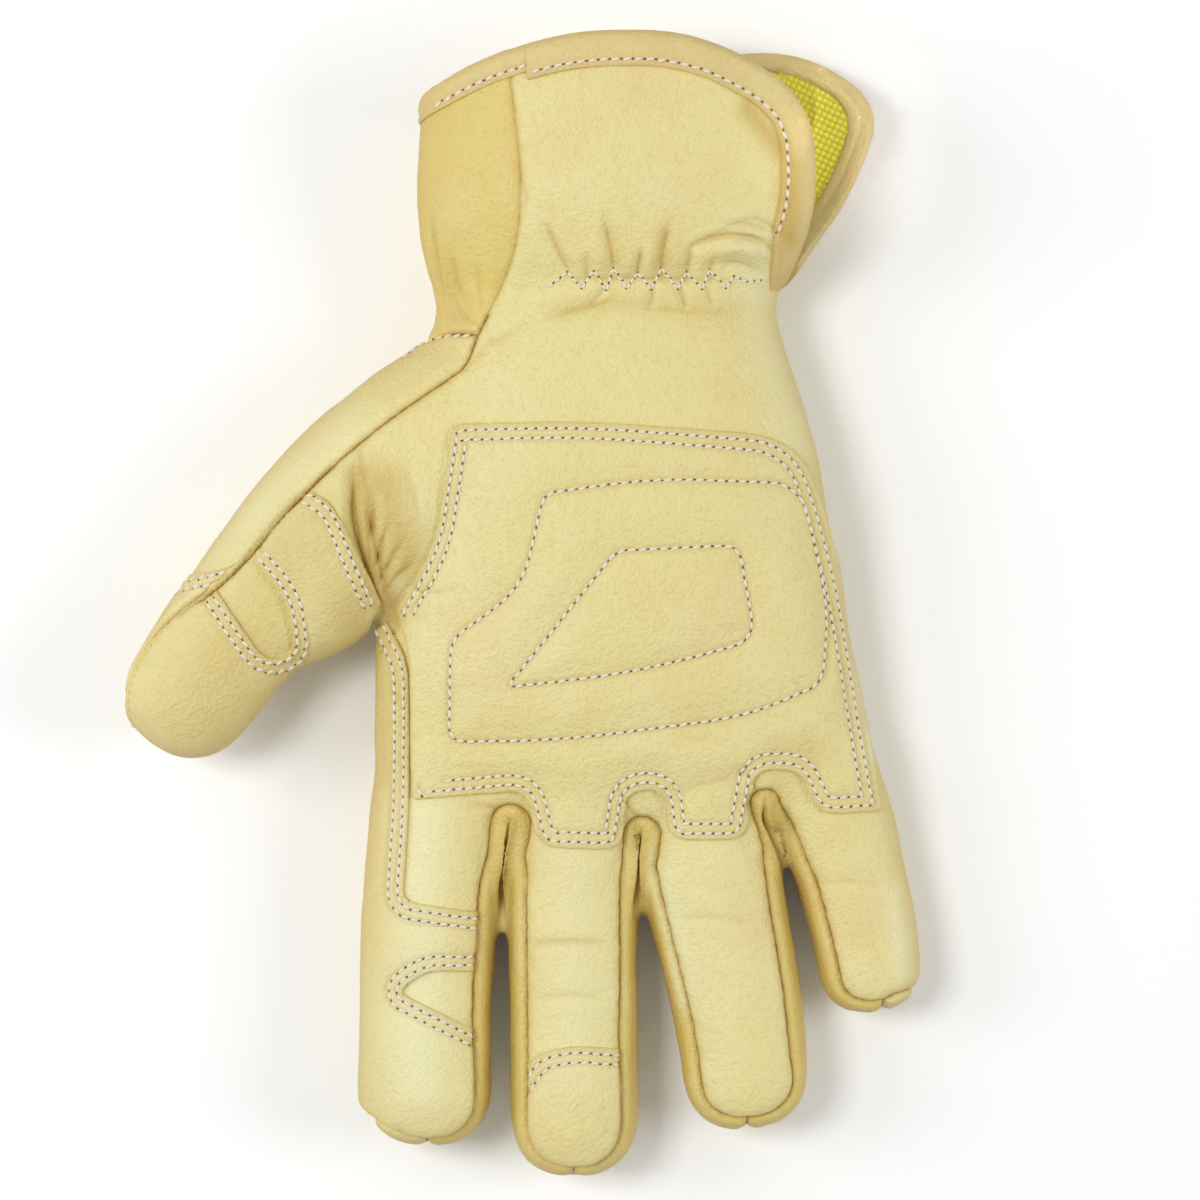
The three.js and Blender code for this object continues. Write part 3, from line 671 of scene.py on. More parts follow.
def palm_side_class(centres):
    """Which piece each face of the palm-side skin belongs to."""
    above = above_seam(centres) > 0
    in_palm = inside(centres, palm_outline()) & above
    in_thumb = inside(centres, thumb_outline()) & ~in_palm
    rest = above & ~in_palm & ~in_thumb
    x, y = centres[:, 0], centres[:, 1]
    fingers = rest & (y < HAND_END)
    result = np.full(len(centres), HIDDEN)
    result[fingers] = BACK
    for piece, start, stop in zip((STRIP_1, STRIP_2, STRIP_3), FOURCHETTE_ENDS, FOURCHETTE_ENDS[1:]):
        result[fingers & (x >= start) & (x < stop)] = piece
    result[rest & (y > 50) & (x < 20)] = SIDE
    result[in_thumb] = THUMB_BACK
    result[in_palm] = PALM
    return result


def back_side_class(centres):
    below = above_seam(centres) < 0
    in_thumb = inside(centres, thumb_outline())
    return np.where(below & ~in_thumb, BACK, HIDDEN)


def eased(share):
    """A share from 0 to 1 that leaves and arrives gently."""
    return share * share * (3 - 2 * share)


def fold_relief(spots, fold):
    """Height and shade of one fold at each place: a valley between low ridges, fading at its ends."""
    line = rounded([(x, y, 4) for x, y in fold["line"]])
    wide = fold["wide"]
    relief = np.zeros(len(spots))
    shade = np.zeros(len(spots))
    near = box_round(spots, line, 4 * wide)
    if not near.any():
        return relief, shade
    distance, place = line_distance(spots[near], line)
    total = np.linalg.norm(np.diff(line, axis=0), axis=1).sum()
    fade = eased(np.clip(np.minimum(place, total - place) / (0.35 * total), 0, 1))
    sharp = 0.5 if fold["deep"] > 0 else 0
    valley = (1 - sharp) / (1 + (distance / wide) ** 2) ** 2 + sharp / (1 + (distance / FOLD_CORE) ** 2)
    ridge = 0.35 * np.exp(-(((distance - 2.1 * wide) / wide) ** 2))
    relief[near] = fold["deep"] * fade * (ridge - valley)
    shade[near] = np.clip(fold["deep"], 0, 1) * fade * np.exp(-((distance / 0.6) ** 2))
    return relief, shade


def noise_at(spots, scale, seed):
    """Soft noise from -1 to 1 at each place, whose lumps are about scale mm apart."""
    offset = Vector((seed * 17.3, seed * 5.1, seed * 9.7))
    return np.array([noise.noise(Vector(spot) + offset) for spot in spots / scale])


def smoothed(bm, values, passes):
    """Values of the points, averaged with their neighbours."""
    ends = np.array([(edge.verts[0].index, edge.verts[1].index) for edge in bm.edges])
    first, second = ends[:, 0], ends[:, 1]
    count = len(values)
    degree = np.bincount(ends.ravel(), minlength=count)
    for _ in range(passes):
        total = np.bincount(first, values[second], count) + np.bincount(second, values[first], count)
        values = 0.5 * values + 0.5 * total / np.maximum(degree, 1)
    return values


def seam_strength(spots):
    """How strongly a seam draws the leather in at each place: least on the cuff, most at the thumb's end."""
    return np.where(spots[:, 1] > 66, 0.55, np.where((spots[:, 0] < -42) & (spots[:, 1] > -60), 1.5, 1))


def leather_relief(bm, spots, normals, seam_distance):
    """How far in mm the leather stands out of its plain form, and how much painted shade its folds get."""
    relief = sum(height * noise_at(spots, size, seed) for height, size, seed in LUMPS)
    roll = np.clip(1 - seam_distance / 1.7, 0, 1) ** 2 * seam_strength(spots)
    relief += smoothed(bm, -1.15 * roll, 1) + 0.22 * np.exp(-(((seam_distance - 3) / 1.6) ** 2))
    relief += 0.32 * noise_at(spots, 2.1, 4) * np.exp(-seam_distance / 2.2)
    facing = np.clip(normals[:, 2] * 2, 0, 1)
    shade = np.zeros(len(spots))
    for fold in FOLDS:
        height, dark = fold_relief(spots, fold)
        relief += facing * height
        shade = np.maximum(shade, facing * dark)
    return relief, shade


def marks_at(spots, marks):
    """How much of a list of marks each place holds, from 0 to 1."""
    result = np.zeros(len(spots))
    for mark in marks:
        distance, _ = line_distance(spots, np.array(mark["line"], float))
        result = np.maximum(result, mark["strong"] * np.exp(-((distance / mark["wide"]) ** 2)))
    return np.where(spots[:, 2] > TOP_SIDE, result, 0)


def nearest_distances(verts, targets):
    """Distance from each point to the nearest of the target points."""
    tree = kdtree.KDTree(len(targets))
    for i, vert in enumerate(targets):
        tree.insert(vert.co, i)
    tree.balance()
    return np.array([tree.find(vert.co)[2] for vert in verts])


class Skin:
    """One side's fine skin in mm, cut along its seams: each face's piece, and whether it is past the cuff."""

    def __init__(self, flared):
        self.bm = bm = closed_hand(flared)
        palm = palm_outline()
        thumb = thumb_outline()
        trim = cuff_outline(BACK_EDGE if flared else FRONT_EDGE)
        if not flared:
            refine(
                bm,
                lambda spots: beside_folds(spots, FINE_FOLD) | ((spots[:, 2] > TOP_SIDE) & (
                    (line_distance(spots, palm, True)[0] < FINE_SEAM)
                    | (line_distance(spots, thumb, True)[0] < FINE_SEAM) & (spots[:, 0] < THUMB_SIDE)
                )),
            )
            refine(bm, lambda spots: beside_folds(spots, FINEST_FOLD))
        cut_line(bm, above_seam)
        if not flared:
            cut_line(bm, lambda spots: signed(spots, palm), lambda spots: above_seam(spots) > -0.5)
        cut_line(bm, lambda spots: signed(spots, thumb), lambda spots: spots[:, 0] < THUMB_SIDE)
        cut_line(bm, lambda spots: signed(spots, trim), lambda spots: spots[:, 1] > 62)
        for x in () if flared else FOURCHETTE_ENDS:
            cut_line(
                bm,
                lambda spots: spots[:, 0] - x,
                lambda spots: (spots[:, 1] < -82) & (np.abs(spots[:, 0] - x) < 3),
            )
        centres = centres_of(bm)
        self.pieces = back_side_class(centres) if flared else palm_side_class(centres)
        self.beyond = ~inside(centres, trim)
        self.shape_leather()

    def shape_leather(self):
        """Moves the points out of the plain form and keeps how far, with the seam distances and the fold
        shade, for the painted shade in the colours.
        """
        bm = self.bm
        bm.normal_update()
        plain = spots_of(bm)
        normals = normals_of(bm)
        seams = [vert for vert in bm.verts if len({self.pieces[face.index] for face in vert.link_faces}) > 1]
        gaps = nearest_distances(bm.verts, seams)
        reliefs, shades = leather_relief(bm, plain, normals, gaps)
        places = plain + normals * reliefs[:, None]
        low = places[:, 2]
        places[:, 2] = 0.5 * (low + np.sqrt(low**2 + 0.64))
        relief = bm.verts.layers.float.new("relief")
        seam = bm.verts.layers.float.new("seam")
        shade = bm.verts.layers.float.new("shade")
        for vert, spot, height, gap, dark in zip(bm.verts, places, reliefs, gaps, shades):
            vert.co = spot
            vert[relief] = height
            vert[seam] = gap
            vert[shade] = dark
        bm.normal_update()

    def part(self, wanted):
        """A bmesh of the faces of one piece."""
        return self.faces_where((self.pieces == wanted) & ~self.beyond)

    def faces_where(self, mask):
        bm = self.bm.copy()
        drop_faces(bm, ~mask)
        return bm


skins = {}


def skin_of(side):
    """The palm side's or the back side's skin, made once."""
    if side not in skins:
        skins[side] = Skin(flared=side == "back")
    return skins[side]


def closed_shell(bm, outer, inner):
    """Gives a skin its thickness: outer and inner are mm along the normal, one value or one for each point.

    Returns the old index of each point and whether the point lies on the inner face.
    """
    bm.verts.index_update()
    bm.normal_update()
    places = spots_of(bm)
    normals = normals_of(bm)
    source = bm.verts.layers.int.new("source")
    for vert in bm.verts:
        vert[source] = vert.index
    originals = set(bm.verts)
    bmesh.ops.solidify(bm, geom=list(bm.faces), thickness=0.1)
    bm.verts.index_update()
    ids = np.array([vert[source] for vert in bm.verts])
    within = np.array([vert not in originals for vert in bm.verts])
    outer, inner = (np.broadcast_to(depth, len(places))[ids] for depth in (outer, inner))
    reach = np.where(within, inner, outer)
    for vert, spot in zip(bm.verts, places[ids] + normals[ids] * reach[:, None]):
        vert.co = spot
    bm.verts.layers.int.remove(source)
    bmesh.ops.recalc_face_normals(bm, faces=bm.faces)
    for face in bm.faces:
        face.smooth = True
    broad = [sum(within[vert.index] for vert in face.verts) in (0, len(face.verts)) for face in bm.faces]
    bm.faces.index_update()
    for edge in bm.edges:
        edge.smooth = len({broad[face.index] for face in edge.link_faces}) == 1
    return ids, within


def finish_piece(bm, name, nodes, finishes, marks=None):
    """Turns a bmesh in mm into a shown piece in metres that stands for its CAD nodes."""
    bmesh.ops.scale(bm, vec=(MM, MM, MM), verts=bm.verts)
    mesh = bpy.data.meshes.new(name)
    bm.to_mesh(mesh)
    bm.free()
    for material in finishes:
        mesh.materials.append(material)
    for mark, values in (marks or {}).items():
        layer = mesh.attributes.new(mark, "FLOAT", "POINT")
        layer.data.foreach_set("value", values.astype(np.float32))
    piece = bpy.data.objects.new(name, mesh)
    bpy.context.scene.collection.objects.link(piece)
    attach(piece, "root")
    if nodes:
        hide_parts(*nodes)
    return piece


def layer_values(bm, name):
    layer = bm.verts.layers.float[name]
    return np.array([vert[layer] for vert in bm.verts])


def painted_shade_and_highlight(ids, within, crease_shade, pale):
    """The painted shade and painted highlight that the grain's colour reads. The inner face gets no painted
    shade.
    """
    return {"crease_shade": np.where(within, 0, crease_shade[ids]), "pale": pale[ids]}


def leather_piece(name, node, bm, material):
    """A sewn leather panel: its outer face, its wall, and its inner face in suede."""
    relief = layer_values(bm, "relief")
    seam = layer_values(bm, "seam")
    spots = spots_of(bm)
    # Painted highlight where the highlight marks lie.
    pale = marks_at(spots, PAINTED_HIGHLIGHT_LINES)
    # Painted shade: in pressed-in hollows, along the seams, at the shade marks and in the folds.
    crease_shade = np.maximum.reduce([
        np.clip((-relief - 0.5) / 1.6, 0, 0.7),
        0.95 * np.minimum(np.exp(-((seam / 0.5) ** 2)) * seam_strength(spots), 1),
        0.7 * marks_at(spots, PAINTED_SHADE_LINES),
        0.6 * layer_values(bm, "shade"),
    ])
    web = np.min([line_distance(spots, np.array(line, float))[0] for line in GAPS], axis=0)
    thinned = 0.9 * np.clip(-relief - 0.6, 0, 1) + 1.6 * np.exp(-((web / 5) ** 4))
    ids, within = closed_shell(bm, 0, np.minimum(thinned - WALL, -0.4))
    for face in bm.faces:
        face.material_index = int(all(within[vert.index] for vert in face.verts))
    finishes = [material, materials_of()["suede"]]
    return finish_piece(bm, name, [node], finishes, painted_shade_and_highlight(ids, within, crease_shade, pale))


# Materials

SEAM_SHADE = "8C7434"


def linear(hex_colour):
    """An sRGB hex colour as linear red, green, blue and alpha."""
    channels = [int(hex_colour[i:i + 2], 16) / 255 for i in (0, 2, 4)]
    return (*[c / 12.92 if c <= 0.04045 else ((c + 0.055) / 1.055) ** 2.4 for c in channels], 1)


def add_node(tree, kind, settings=None, inputs=None):
    """Adds a node, sets its settings, and sets or links its inputs."""
    node = tree.nodes.new(kind)
    for key, value in (settings or {}).items():
        setattr(node, key, value)
    for key, value in (inputs or {}).items():
        if isinstance(value, bpy.types.NodeSocket):
            tree.links.new(value, node.inputs[key])
        else:
            node.inputs[key].default_value = value
    return node


def new_material(name):
    material = bpy.data.materials.new(name)
    material.use_nodes = True
    tree = material.node_tree
    tree.nodes.clear()
    output = add_node(tree, "ShaderNodeOutputMaterial")
    shader = add_node(tree, "ShaderNodeBsdfPrincipled")
    tree.links.new(shader.outputs["BSDF"], output.inputs["Surface"])
    return material, tree, shader


def attribute(tree, name):
    return add_node(tree, "ShaderNodeAttribute", {"attribute_name": name}).outputs["Fac"]


def ranged(tree, value, start, end, most=1.0):
    """A value spread from 0, at the start or below, to the most, at the end or above."""
    inputs = {"Value": value, "From Min": start, "From Max": end, "To Max": most}
    return add_node(tree, "ShaderNodeMapRange", inputs=inputs).outputs["Result"]


def mixed(tree, factor, first, second):
    """A colour that goes from the first to the second as the factor goes from 0 to 1."""
    inputs = {"Factor": factor, 6: first, 7: second}
    return add_node(tree, "ShaderNodeMix", {"data_type": "RGBA"}, inputs).outputs[2]


def raised(tree, shader, strength, heights):
    """Bumps a shader by heights, each with its distance in mm. A distance below 0 presses in."""
    normal = None
    for height, distance in heights:
        inputs = {"Strength": strength, "Distance": abs(distance) * MM, "Height": height}
        bump = add_node(tree, "ShaderNodeBump", {"invert": distance < 0}, inputs)
        if normal is not None:
            tree.links.new(normal, bump.inputs["Normal"])
        normal = bump.outputs["Normal"]
    tree.links.new(normal, shader.inputs["Normal"])


def grain_leather(name, colour, warm, pale, deep, lift=1.0):
    """Soft top-grain leather, drummed: fine pebbles, warm and pale patches, painted shade in its folds and
    seams and on sides turned from the view, and painted highlights.
    """
    material, tree, shader = new_material(name)
    place = add_node(tree, "ShaderNodeTexCoord").outputs["Object"]
    tone = linear(colour)
    for size, seed, start, end, other, most in (
        (30, 3.0, 0.48, 0.7, warm, 0.6),
        (44, 9.0, 0.5, 0.7, pale, 0.35),
        (1.1, 5.0, 0.5, 0.75, deep, 0.25),
    ):
        spread = add_node(
            tree, "ShaderNodeTexNoise", {"noise_dimensions": "4D"},
            {"Vector": place, "W": seed, "Scale": 1 / (size * MM), "Detail": 4.0, "Roughness": 0.55},
        )
        tone = mixed(tree, ranged(tree, spread.outputs["Fac"], start, end, most), tone, linear(other))
    # Painted highlight: the pale attribute lightens the tone where the highlight marks lie.
    tone = mixed(tree, attribute(tree, "pale"), tone, linear(pale))
    # Painted shade: sides that turn away from the view and the crease shade attribute mix towards the deep
    # colour.
    facing = add_node(tree, "ShaderNodeLayerWeight", inputs={"Blend": 0.35}).outputs["Facing"]
    turned = ranged(tree, facing, 0.1, 0.75, 0.6)
    crease_shade = attribute(tree, "crease_shade")
    dark = add_node(tree, "ShaderNodeMath", {"operation": "MAXIMUM"}, {0: crease_shade, 1: turned}).outputs["Value"]
    tone = mixed(tree, dark, tone, linear(deep))
    # The darkest painted shade, along the seam lines.
    tone = mixed(tree, ranged(tree, crease_shade, 0.72, 0.95, 0.85), tone, linear(SEAM_SHADE))
    tree.links.new(tone, shader.inputs["Base Color"])
    heights = []
    for size, distance in ((6.0, 0.5), (2.4, 0.2)):
        swell = add_node(
            tree, "ShaderNodeTexNoise",
            inputs={
                "Vector": place, "Scale": 1 / (size * MM), "Detail": 3.0, "Roughness": 0.6, "Distortion": 0.3,
            },
        )
        heights.append((swell.outputs["Fac"], distance))
    pebbles = add_node(
        tree, "ShaderNodeTexVoronoi", {"feature": "SMOOTH_F1"},
        {"Vector": place, "Scale": 1 / (0.8 * MM), "Smoothness": 0.4},
    )
    heights.append((pebbles.outputs["Distance"], -0.26))
    raised(tree, shader, 0.75 * lift, heights)
    shader.inputs["Roughness"].default_value = 0.52
    shader.inputs["Specular IOR Level"].default_value = 0.45
    return material


def woven_cotton(name, colour, dark, pitch=1.35):
    """Basket-woven cotton: matt, with raised threads and painted shade in the gaps at every crossing."""
    material, tree, shader = new_material(name)
    place = add_node(tree, "ShaderNodeTexCoord").outputs["Object"]
    turned = add_node(
        tree, "ShaderNodeMapping", inputs={"Vector": place, "Rotation": (0, 0, math.radians(28))}
    ).outputs["Vector"]
    waves = [
        add_node(
            tree, "ShaderNodeTexWave", {"bands_direction": axis, "wave_profile": "SIN"},
            {"Vector": turned, "Scale": 0.31 / (pitch * MM), "Distortion": 0.4, "Detail": 1.0},
        ).outputs["Fac"]
        for axis in ("X", "Y")
    ]
    height = add_node(
        tree, "ShaderNodeMath", {"operation": "MULTIPLY"}, {0: waves[0], 1: waves[1]}
    ).outputs["Value"]
    # Painted shade: the low gaps between the threads take the dark colour.
    tone = mixed(tree, ranged(tree, height, 0.0, 0.22), linear(dark), linear(colour))
    tree.links.new(tone, shader.inputs["Base Color"])
    raised(tree, shader, 0.7, [(height, 0.5)])
    shader.inputs["Roughness"].default_value = 0.85
    shader.inputs["Specular IOR Level"].default_value = 0.2
    return material


def plain_finish(name, colour, roughness):
    material, _, shader = new_material(name)
    shader.inputs["Base Color"].default_value = linear(colour)
    shader.inputs["Roughness"].default_value = roughness
    return material


materials = {}


def materials_of():
    """The glove's materials, made once from the settings."""
    if not materials:
        leather = bpy.context.scene.glove_leather
        thread = bpy.context.scene.glove_thread
        tones = (leather.warm, leather.pale, leather.deep)
        materials["leather"] = grain_leather("drummed goatskin", leather.main, *tones)
        # The side pieces take a darker copy of the leather as painted shade.
        materials["side"] = grain_leather("drummed goatskin side pieces in painted shade", leather.side, *tones)
        materials["patch"] = grain_leather("drummed goatskin overlay", leather.overlay, *tones, 1.1)
        materials["edging"] = grain_leather("folded goatskin strip", leather.edging, *tones, 0.8)
        materials["cotton"] = woven_cotton("basket-woven cotton", thread.weave, "DACD48")
        materials["suede"] = plain_finish("suede inner face", "B39A58", 0.95)
        materials["thread"] = plain_finish("waxed polyester thread", thread.thread, 0.55)
        materials["seam_thread"] = plain_finish("yellow polyester thread", "EBD070", 0.55)
        # Dark beads of painted shade at the needle holes.
        materials["hole"] = plain_finish("painted shade in needle hole", "6A5E3C", 0.9)
    return materials


# Stitches


def measured(line, closed):
    """A plan line, closed if it should be, its spans' lengths, and how far along it each point is."""
    line = np.asarray(line, float)
    if closed:
        line = np.concatenate([line, line[:1]])
    lengths = np.linalg.norm(np.diff(line, axis=0), axis=1)
    return line, lengths, np.concatenate([[0], np.cumsum(lengths)])


def places_along(line, done, stops):
    return np.stack([np.interp(stops, done, line[:, 0]), np.interp(stops, done, line[:, 1])], 1)


def walk(line, pitch, closed=False):
    """Places and directions every pitch along a plan line."""
    line, lengths, done = measured(line, closed)
    total = lengths.sum()
    count = max(2, round(total / pitch))
    stops = (np.arange(count) + 0.5) * total / count
    ahead = places_along(line, done, stops + 0.4) - places_along(line, done, stops - 0.4)
    return places_along(line, done, stops), ahead


def resample(line, step, closed=False):
    line, _, done = measured(line, closed)
    stops = np.linspace(0, done[-1], max(2, int(done[-1] / step)), endpoint=not closed)
    return places_along(line, done, stops)


def inset_line(outline, distance, closed=False):
    """A line moved to its left, without the places where it would fold over itself."""
    outline = np.asarray(outline, float)
    dense = resample(outline, 0.6, closed)
    along = np.roll(dense, -1, 0) - np.roll(dense, 1, 0) if closed else np.gradient(dense, axis=0)
    along = unit_rows(along)
    moved = dense + np.stack([-along[:, 1], along[:, 0]], 1) * distance
    gap, _ = line_distance(moved, outline, closed)
    return moved[gap > abs(distance) * 0.96]


tops = {}


def surface_tree(names):
    """A tree of the shown pieces' faces, to set stitches on."""
    key = tuple(names)
    if key not in tops:
        bm = bmesh.new()
        for name in names:
            bm.from_mesh(bpy.data.objects[name].data)
        tops[key] = BVHTree.FromBMesh(bm)
        bm.free()
    return tops[key]


def beads(matrices, sides, rings):
    """A bmesh of one small round bead for each matrix, made in batches."""
    whole = bmesh.new()
    for first in range(0, len(matrices), BEAD_BATCH):
        batch = bmesh.new()
        for matrix in matrices[first:first + BEAD_BATCH]:
            bmesh.ops.create_uvsphere(batch, u_segments=sides, v_segments=rings, radius=1, matrix=matrix)
        mesh = bpy.data.meshes.new("batch")
        batch.to_mesh(mesh)
        batch.free()
        whole.from_mesh(mesh)
        bpy.data.meshes.remove(mesh)
    for face in whole.faces:
        face.smooth = True
    return whole


def sew(name, rows, carriers, slant=12, fine=1.0, finish="thread", punched=True):
    """Sews rows of stitches on the carriers' top faces. Each row is (plan line, closed, pitch in mm)."""
    thread = bpy.context.scene.glove_thread
    tree = surface_tree(carriers)
    threads = []
    holes = []
    down = Vector((0, 0, -1))
    size = Matrix.Diagonal((thread.length / 2 * fine, thread.width / 2 * fine, thread.width * 0.4 * fine, 1))
    hole_size = Matrix.Diagonal((*(half * MM for half in HOLE), 1))
    for line, closed, pitch in rows:
        spots, directions = walk(line, pitch, closed)
        for i, ((x, y), (u, v)) in enumerate(zip(spots, directions)):
            hit, normal, _, _ = tree.ray_cast(Vector((x * MM, y * MM, 0.2)), down)
            if hit is None or normal.z < 0.12:
                continue
            along = Vector((u, v, 0))
            along -= along.dot(normal) * normal
            along.normalize()
            turn = Matrix((along, normal.cross(along), normal)).transposed().to_4x4()
            lean = Matrix.Rotation(math.radians(slant + 7 * math.sin(i * 2.4)), 4, "Z")
            threads.append(Matrix.Translation(hit + normal * thread.width * 0.1) @ turn @ lean @ size)
            ahead = hit + along * (pitch * MM / 2)
            hit, normal, _, _ = tree.ray_cast(ahead + Vector((0, 0, 0.03)), down)
            # A dark bead of painted shade at the needle hole, half a pitch ahead.
            if punched and hit is not None:
                holes.append(Matrix.Translation(hit - normal * 0.1 * MM) @ turn @ lean @ hole_size)
    made = materials_of()
    for matrices, suffix, material in (
        (threads, "thread", made[finish]),
        (holes, "needle_hole_shade", made["hole"]),
    ):
        if not matrices:
            continue
        bm = beads(matrices, 8, 6)
        bmesh.ops.scale(bm, vec=(1 / MM, 1 / MM, 1 / MM), verts=bm.verts)
        finish_piece(bm, f"{name}_{suffix}", [], [material])


def rows_beside(line, distances, closed=False):
    """Rows of stitches at distances to the left of a line."""
    return [(inset_line(line, distance, closed), closed, ROW_PITCH) for distance in distances]


def open_side(line):
    """A closed row without its stretch beside the first finger's overlay, whose own rows hold both."""
    covered = (line[:, 0] < -18.5) & (line[:, 1] < -3.5) & (line[:, 1] > -43)
    start = int(np.nonzero(covered & ~np.roll(covered, -1))[0][0]) + 1
    turned = np.roll(line, -start, axis=0)
    return turned[~np.roll(covered, -start)]


# Overlays


def overlay(name, node, outline, holes, lowest, rows, thick, puff):
    """A patch cut from the palm side's skin along its outline, laid on it and pressed in along its rows."""
    skin = skin_of("palm")
    centres = centres_of(skin.bm)
    bm = skin.faces_where(box_round(centres, outline, 3) & (centres[:, 2] > lowest - 3))
    for line in (outline, *holes):
        cut_line(bm, lambda spots: signed(spots, line))
    cut_line(bm, lambda spots: spots[:, 2] - lowest)
    centres = centres_of(bm)
    keep = inside(centres, outline) & (centres[:, 2] > lowest)
    for hole in holes:
        keep &= ~inside(centres, hole)
    bm.normal_update()
    keep &= np.array([face.normal.z for face in bm.faces]) > -0.6
    drop_faces(bm, ~keep)
    bmesh.ops.subdivide_edges(bm, edges=bm.edges, cuts=1, use_grid_fill=True)
    soften(bm, 4, [vert for vert in bm.verts if not vert.is_boundary])
    bm.verts.index_update()
    edge = nearest_distances(bm.verts, [vert for vert in bm.verts if vert.is_boundary])
    places = spots_of(bm)
    pressed = np.zeros(len(places))
    lift = np.ones(len(places))
    for line, closed, _ in rows:
        gap, _ = line_distance(places, line, closed)
        pressed = np.maximum(pressed, np.exp(-((gap / 0.75) ** 2)))
        lift = np.minimum(lift, 1 - np.exp(-((gap / 4.5) ** 2)))
    rounding = 0.5 * np.clip(1 - edge / 1.1, 0, 1) ** 2
    seam = layer_values(bm, "seam")
    sewn_in = eased(np.clip(seam / 2.4, 0, 1))
    groove = 0.45 * np.exp(-((seam / 0.9) ** 2))
    out = (thick + puff * lift - rounding) * sewn_in - 0.45 * pressed - groove + 0.12
    # Painted highlight where the highlight marks lie.
    pale = marks_at(places, PAINTED_HIGHLIGHT_LINES)
    # Painted shade: along the pressed stitch rows, at the patch's edge, along the seams, at the shade marks
    # and in the folds.
    crease_shade = np.maximum.reduce([
        0.35 * pressed + 0.5 * np.clip(1 - edge / 0.8, 0, 1),
        np.minimum(1.6 * np.exp(-((seam / 0.8) ** 2)), 0.95),
        0.7 * marks_at(places, PAINTED_SHADE_LINES),
        0.5 * layer_values(bm, "shade"),
    ])
    ids, within = closed_shell(bm, out, -0.25)
    finishes = [materials_of()["patch"]]
    return finish_piece(bm, name, [node], finishes, painted_shade_and_highlight(ids, within, crease_shade, pale))


def shrink(outline, distance):
    """A closed outline with every point moved to its inside."""
    x, y = outline[:, 0], outline[:, 1]
    turn = np.sign(np.sum(x * np.roll(y, -1) - np.roll(x, -1) * y))
    along = unit_rows(np.roll(outline, -1, 0) - np.roll(outline, 1, 0))
    return outline + turn * distance * np.stack([-along[:, 1], along[:, 0]], 1)


# Binding


def narrowing(spots):
    """The share of its width that the binding keeps, less where it runs out at the wrist."""
    return np.clip((spots[:, 1] - 66) / 20, 0.25, 1)


def cuff_binding(name, node, side, edge, span, wide, out, inner_wide):
    """The leather strip folded over one edge of the cuff between two x, rounded where it folds."""
    skin = skin_of(side)
    plan = cuff_outline(edge)
    start = BINDING["start"]
    past = BINDING["past"]
    centres = centres_of(skin.bm)
    depth = signed(centres, plan)
    bm = skin.faces_where((np.abs(depth) < wide + 2) & (centres[:, 1] > start - 2) & (skin.pieces != HIDDEN))
    soften(bm, 8)
    cut_line(bm, lambda spots: signed(spots, plan) - wide * narrowing(spots))
    cut_line(bm, lambda spots: signed(spots, plan) + past)
    cut_line(bm, lambda spots: spots[:, 1] - start)
    for x in span:
        cut_line(bm, lambda spots: spots[:, 0] - x)
    centres = centres_of(bm)
    depth = signed(centres, plan)
    drop_faces(
        bm,
        (depth > wide * narrowing(centres)) | (depth < -past) | (centres[:, 1] < start)
        | (centres[:, 0] < span[0]) | (centres[:, 0] > span[1]),
    )
    places = spots_of(bm)
    depth = signed(places, plan)
    from_fold = np.maximum(depth + past, 0)
    mid = (out + BINDING["in"]) / 2
    fold = np.clip(1 - from_fold / BINDING["fold"], 0, 1)
    thick = (out - BINDING["in"]) / 2 * np.sqrt(1 - 0.98 * fold**2)
    from_edge = wide * narrowing(places) - depth
    lip = 0.45 * np.clip(1 - from_edge, 0, 1) ** 2
    press = 0.45 * np.exp(-(((from_edge - BINDING["stitch"]) / 0.75) ** 2))
    lumps = 0.25 * noise_at(places, 5, 8)
    ending = np.clip((places[:, 1] - start) / 6, 0, 1) ** 0.5
    tucked = np.clip((depth - inner_wide) / 0.7, 0, 1)
    outer = (mid + thick - lip - press + lumps) * ending - 0.3 * (1 - ending)
    ids, within = closed_shell(bm, outer, (mid - thick) * (1 - tucked) - 1.2 * tucked)
    # Painted shade along the stitch line, at the folded lip and at the shade marks; no painted highlight.
    crease_shade = np.maximum(0.6 * press + 0.7 * lip, 0.7 * marks_at(places, PAINTED_SHADE_LINES))
    finishes = [materials_of()["edging"]]
    marks = painted_shade_and_highlight(ids, within, crease_shade, np.zeros(len(places)))
    return finish_piece(bm, name, [node], finishes, marks)


# Operators


class GLOVE_OT_palm(bpy.types.Operator):
    """Cut and shape the palm piece with the palm faces of the fingers and the thumb."""

    bl_idname = "glove.palm"
    bl_label = "Palm"

    def execute(self, context):
        leather_piece("palm", "palm_panel", skin_of("palm").part(PALM), materials_of()["leather"])
        return {"FINISHED"}


class GLOVE_OT_back(bpy.types.Operator):
    """Cut and shape the back of the hand, with the rims that roll up at the outer fingertips."""

    bl_idname = "glove.back"
    bl_label = "Back"

    def execute(self, context):
        bm = skin_of("back").part(BACK)
        rims = bpy.data.meshes.new("rims")
        rim_bm = skin_of("palm").part(BACK)
        rim_bm.to_mesh(rims)
        rim_bm.free()
        bm.from_mesh(rims)
        bpy.data.meshes.remove(rims)
        leather_piece("back", "back_panel", bm, materials_of()["leather"])
        return {"FINISHED"}


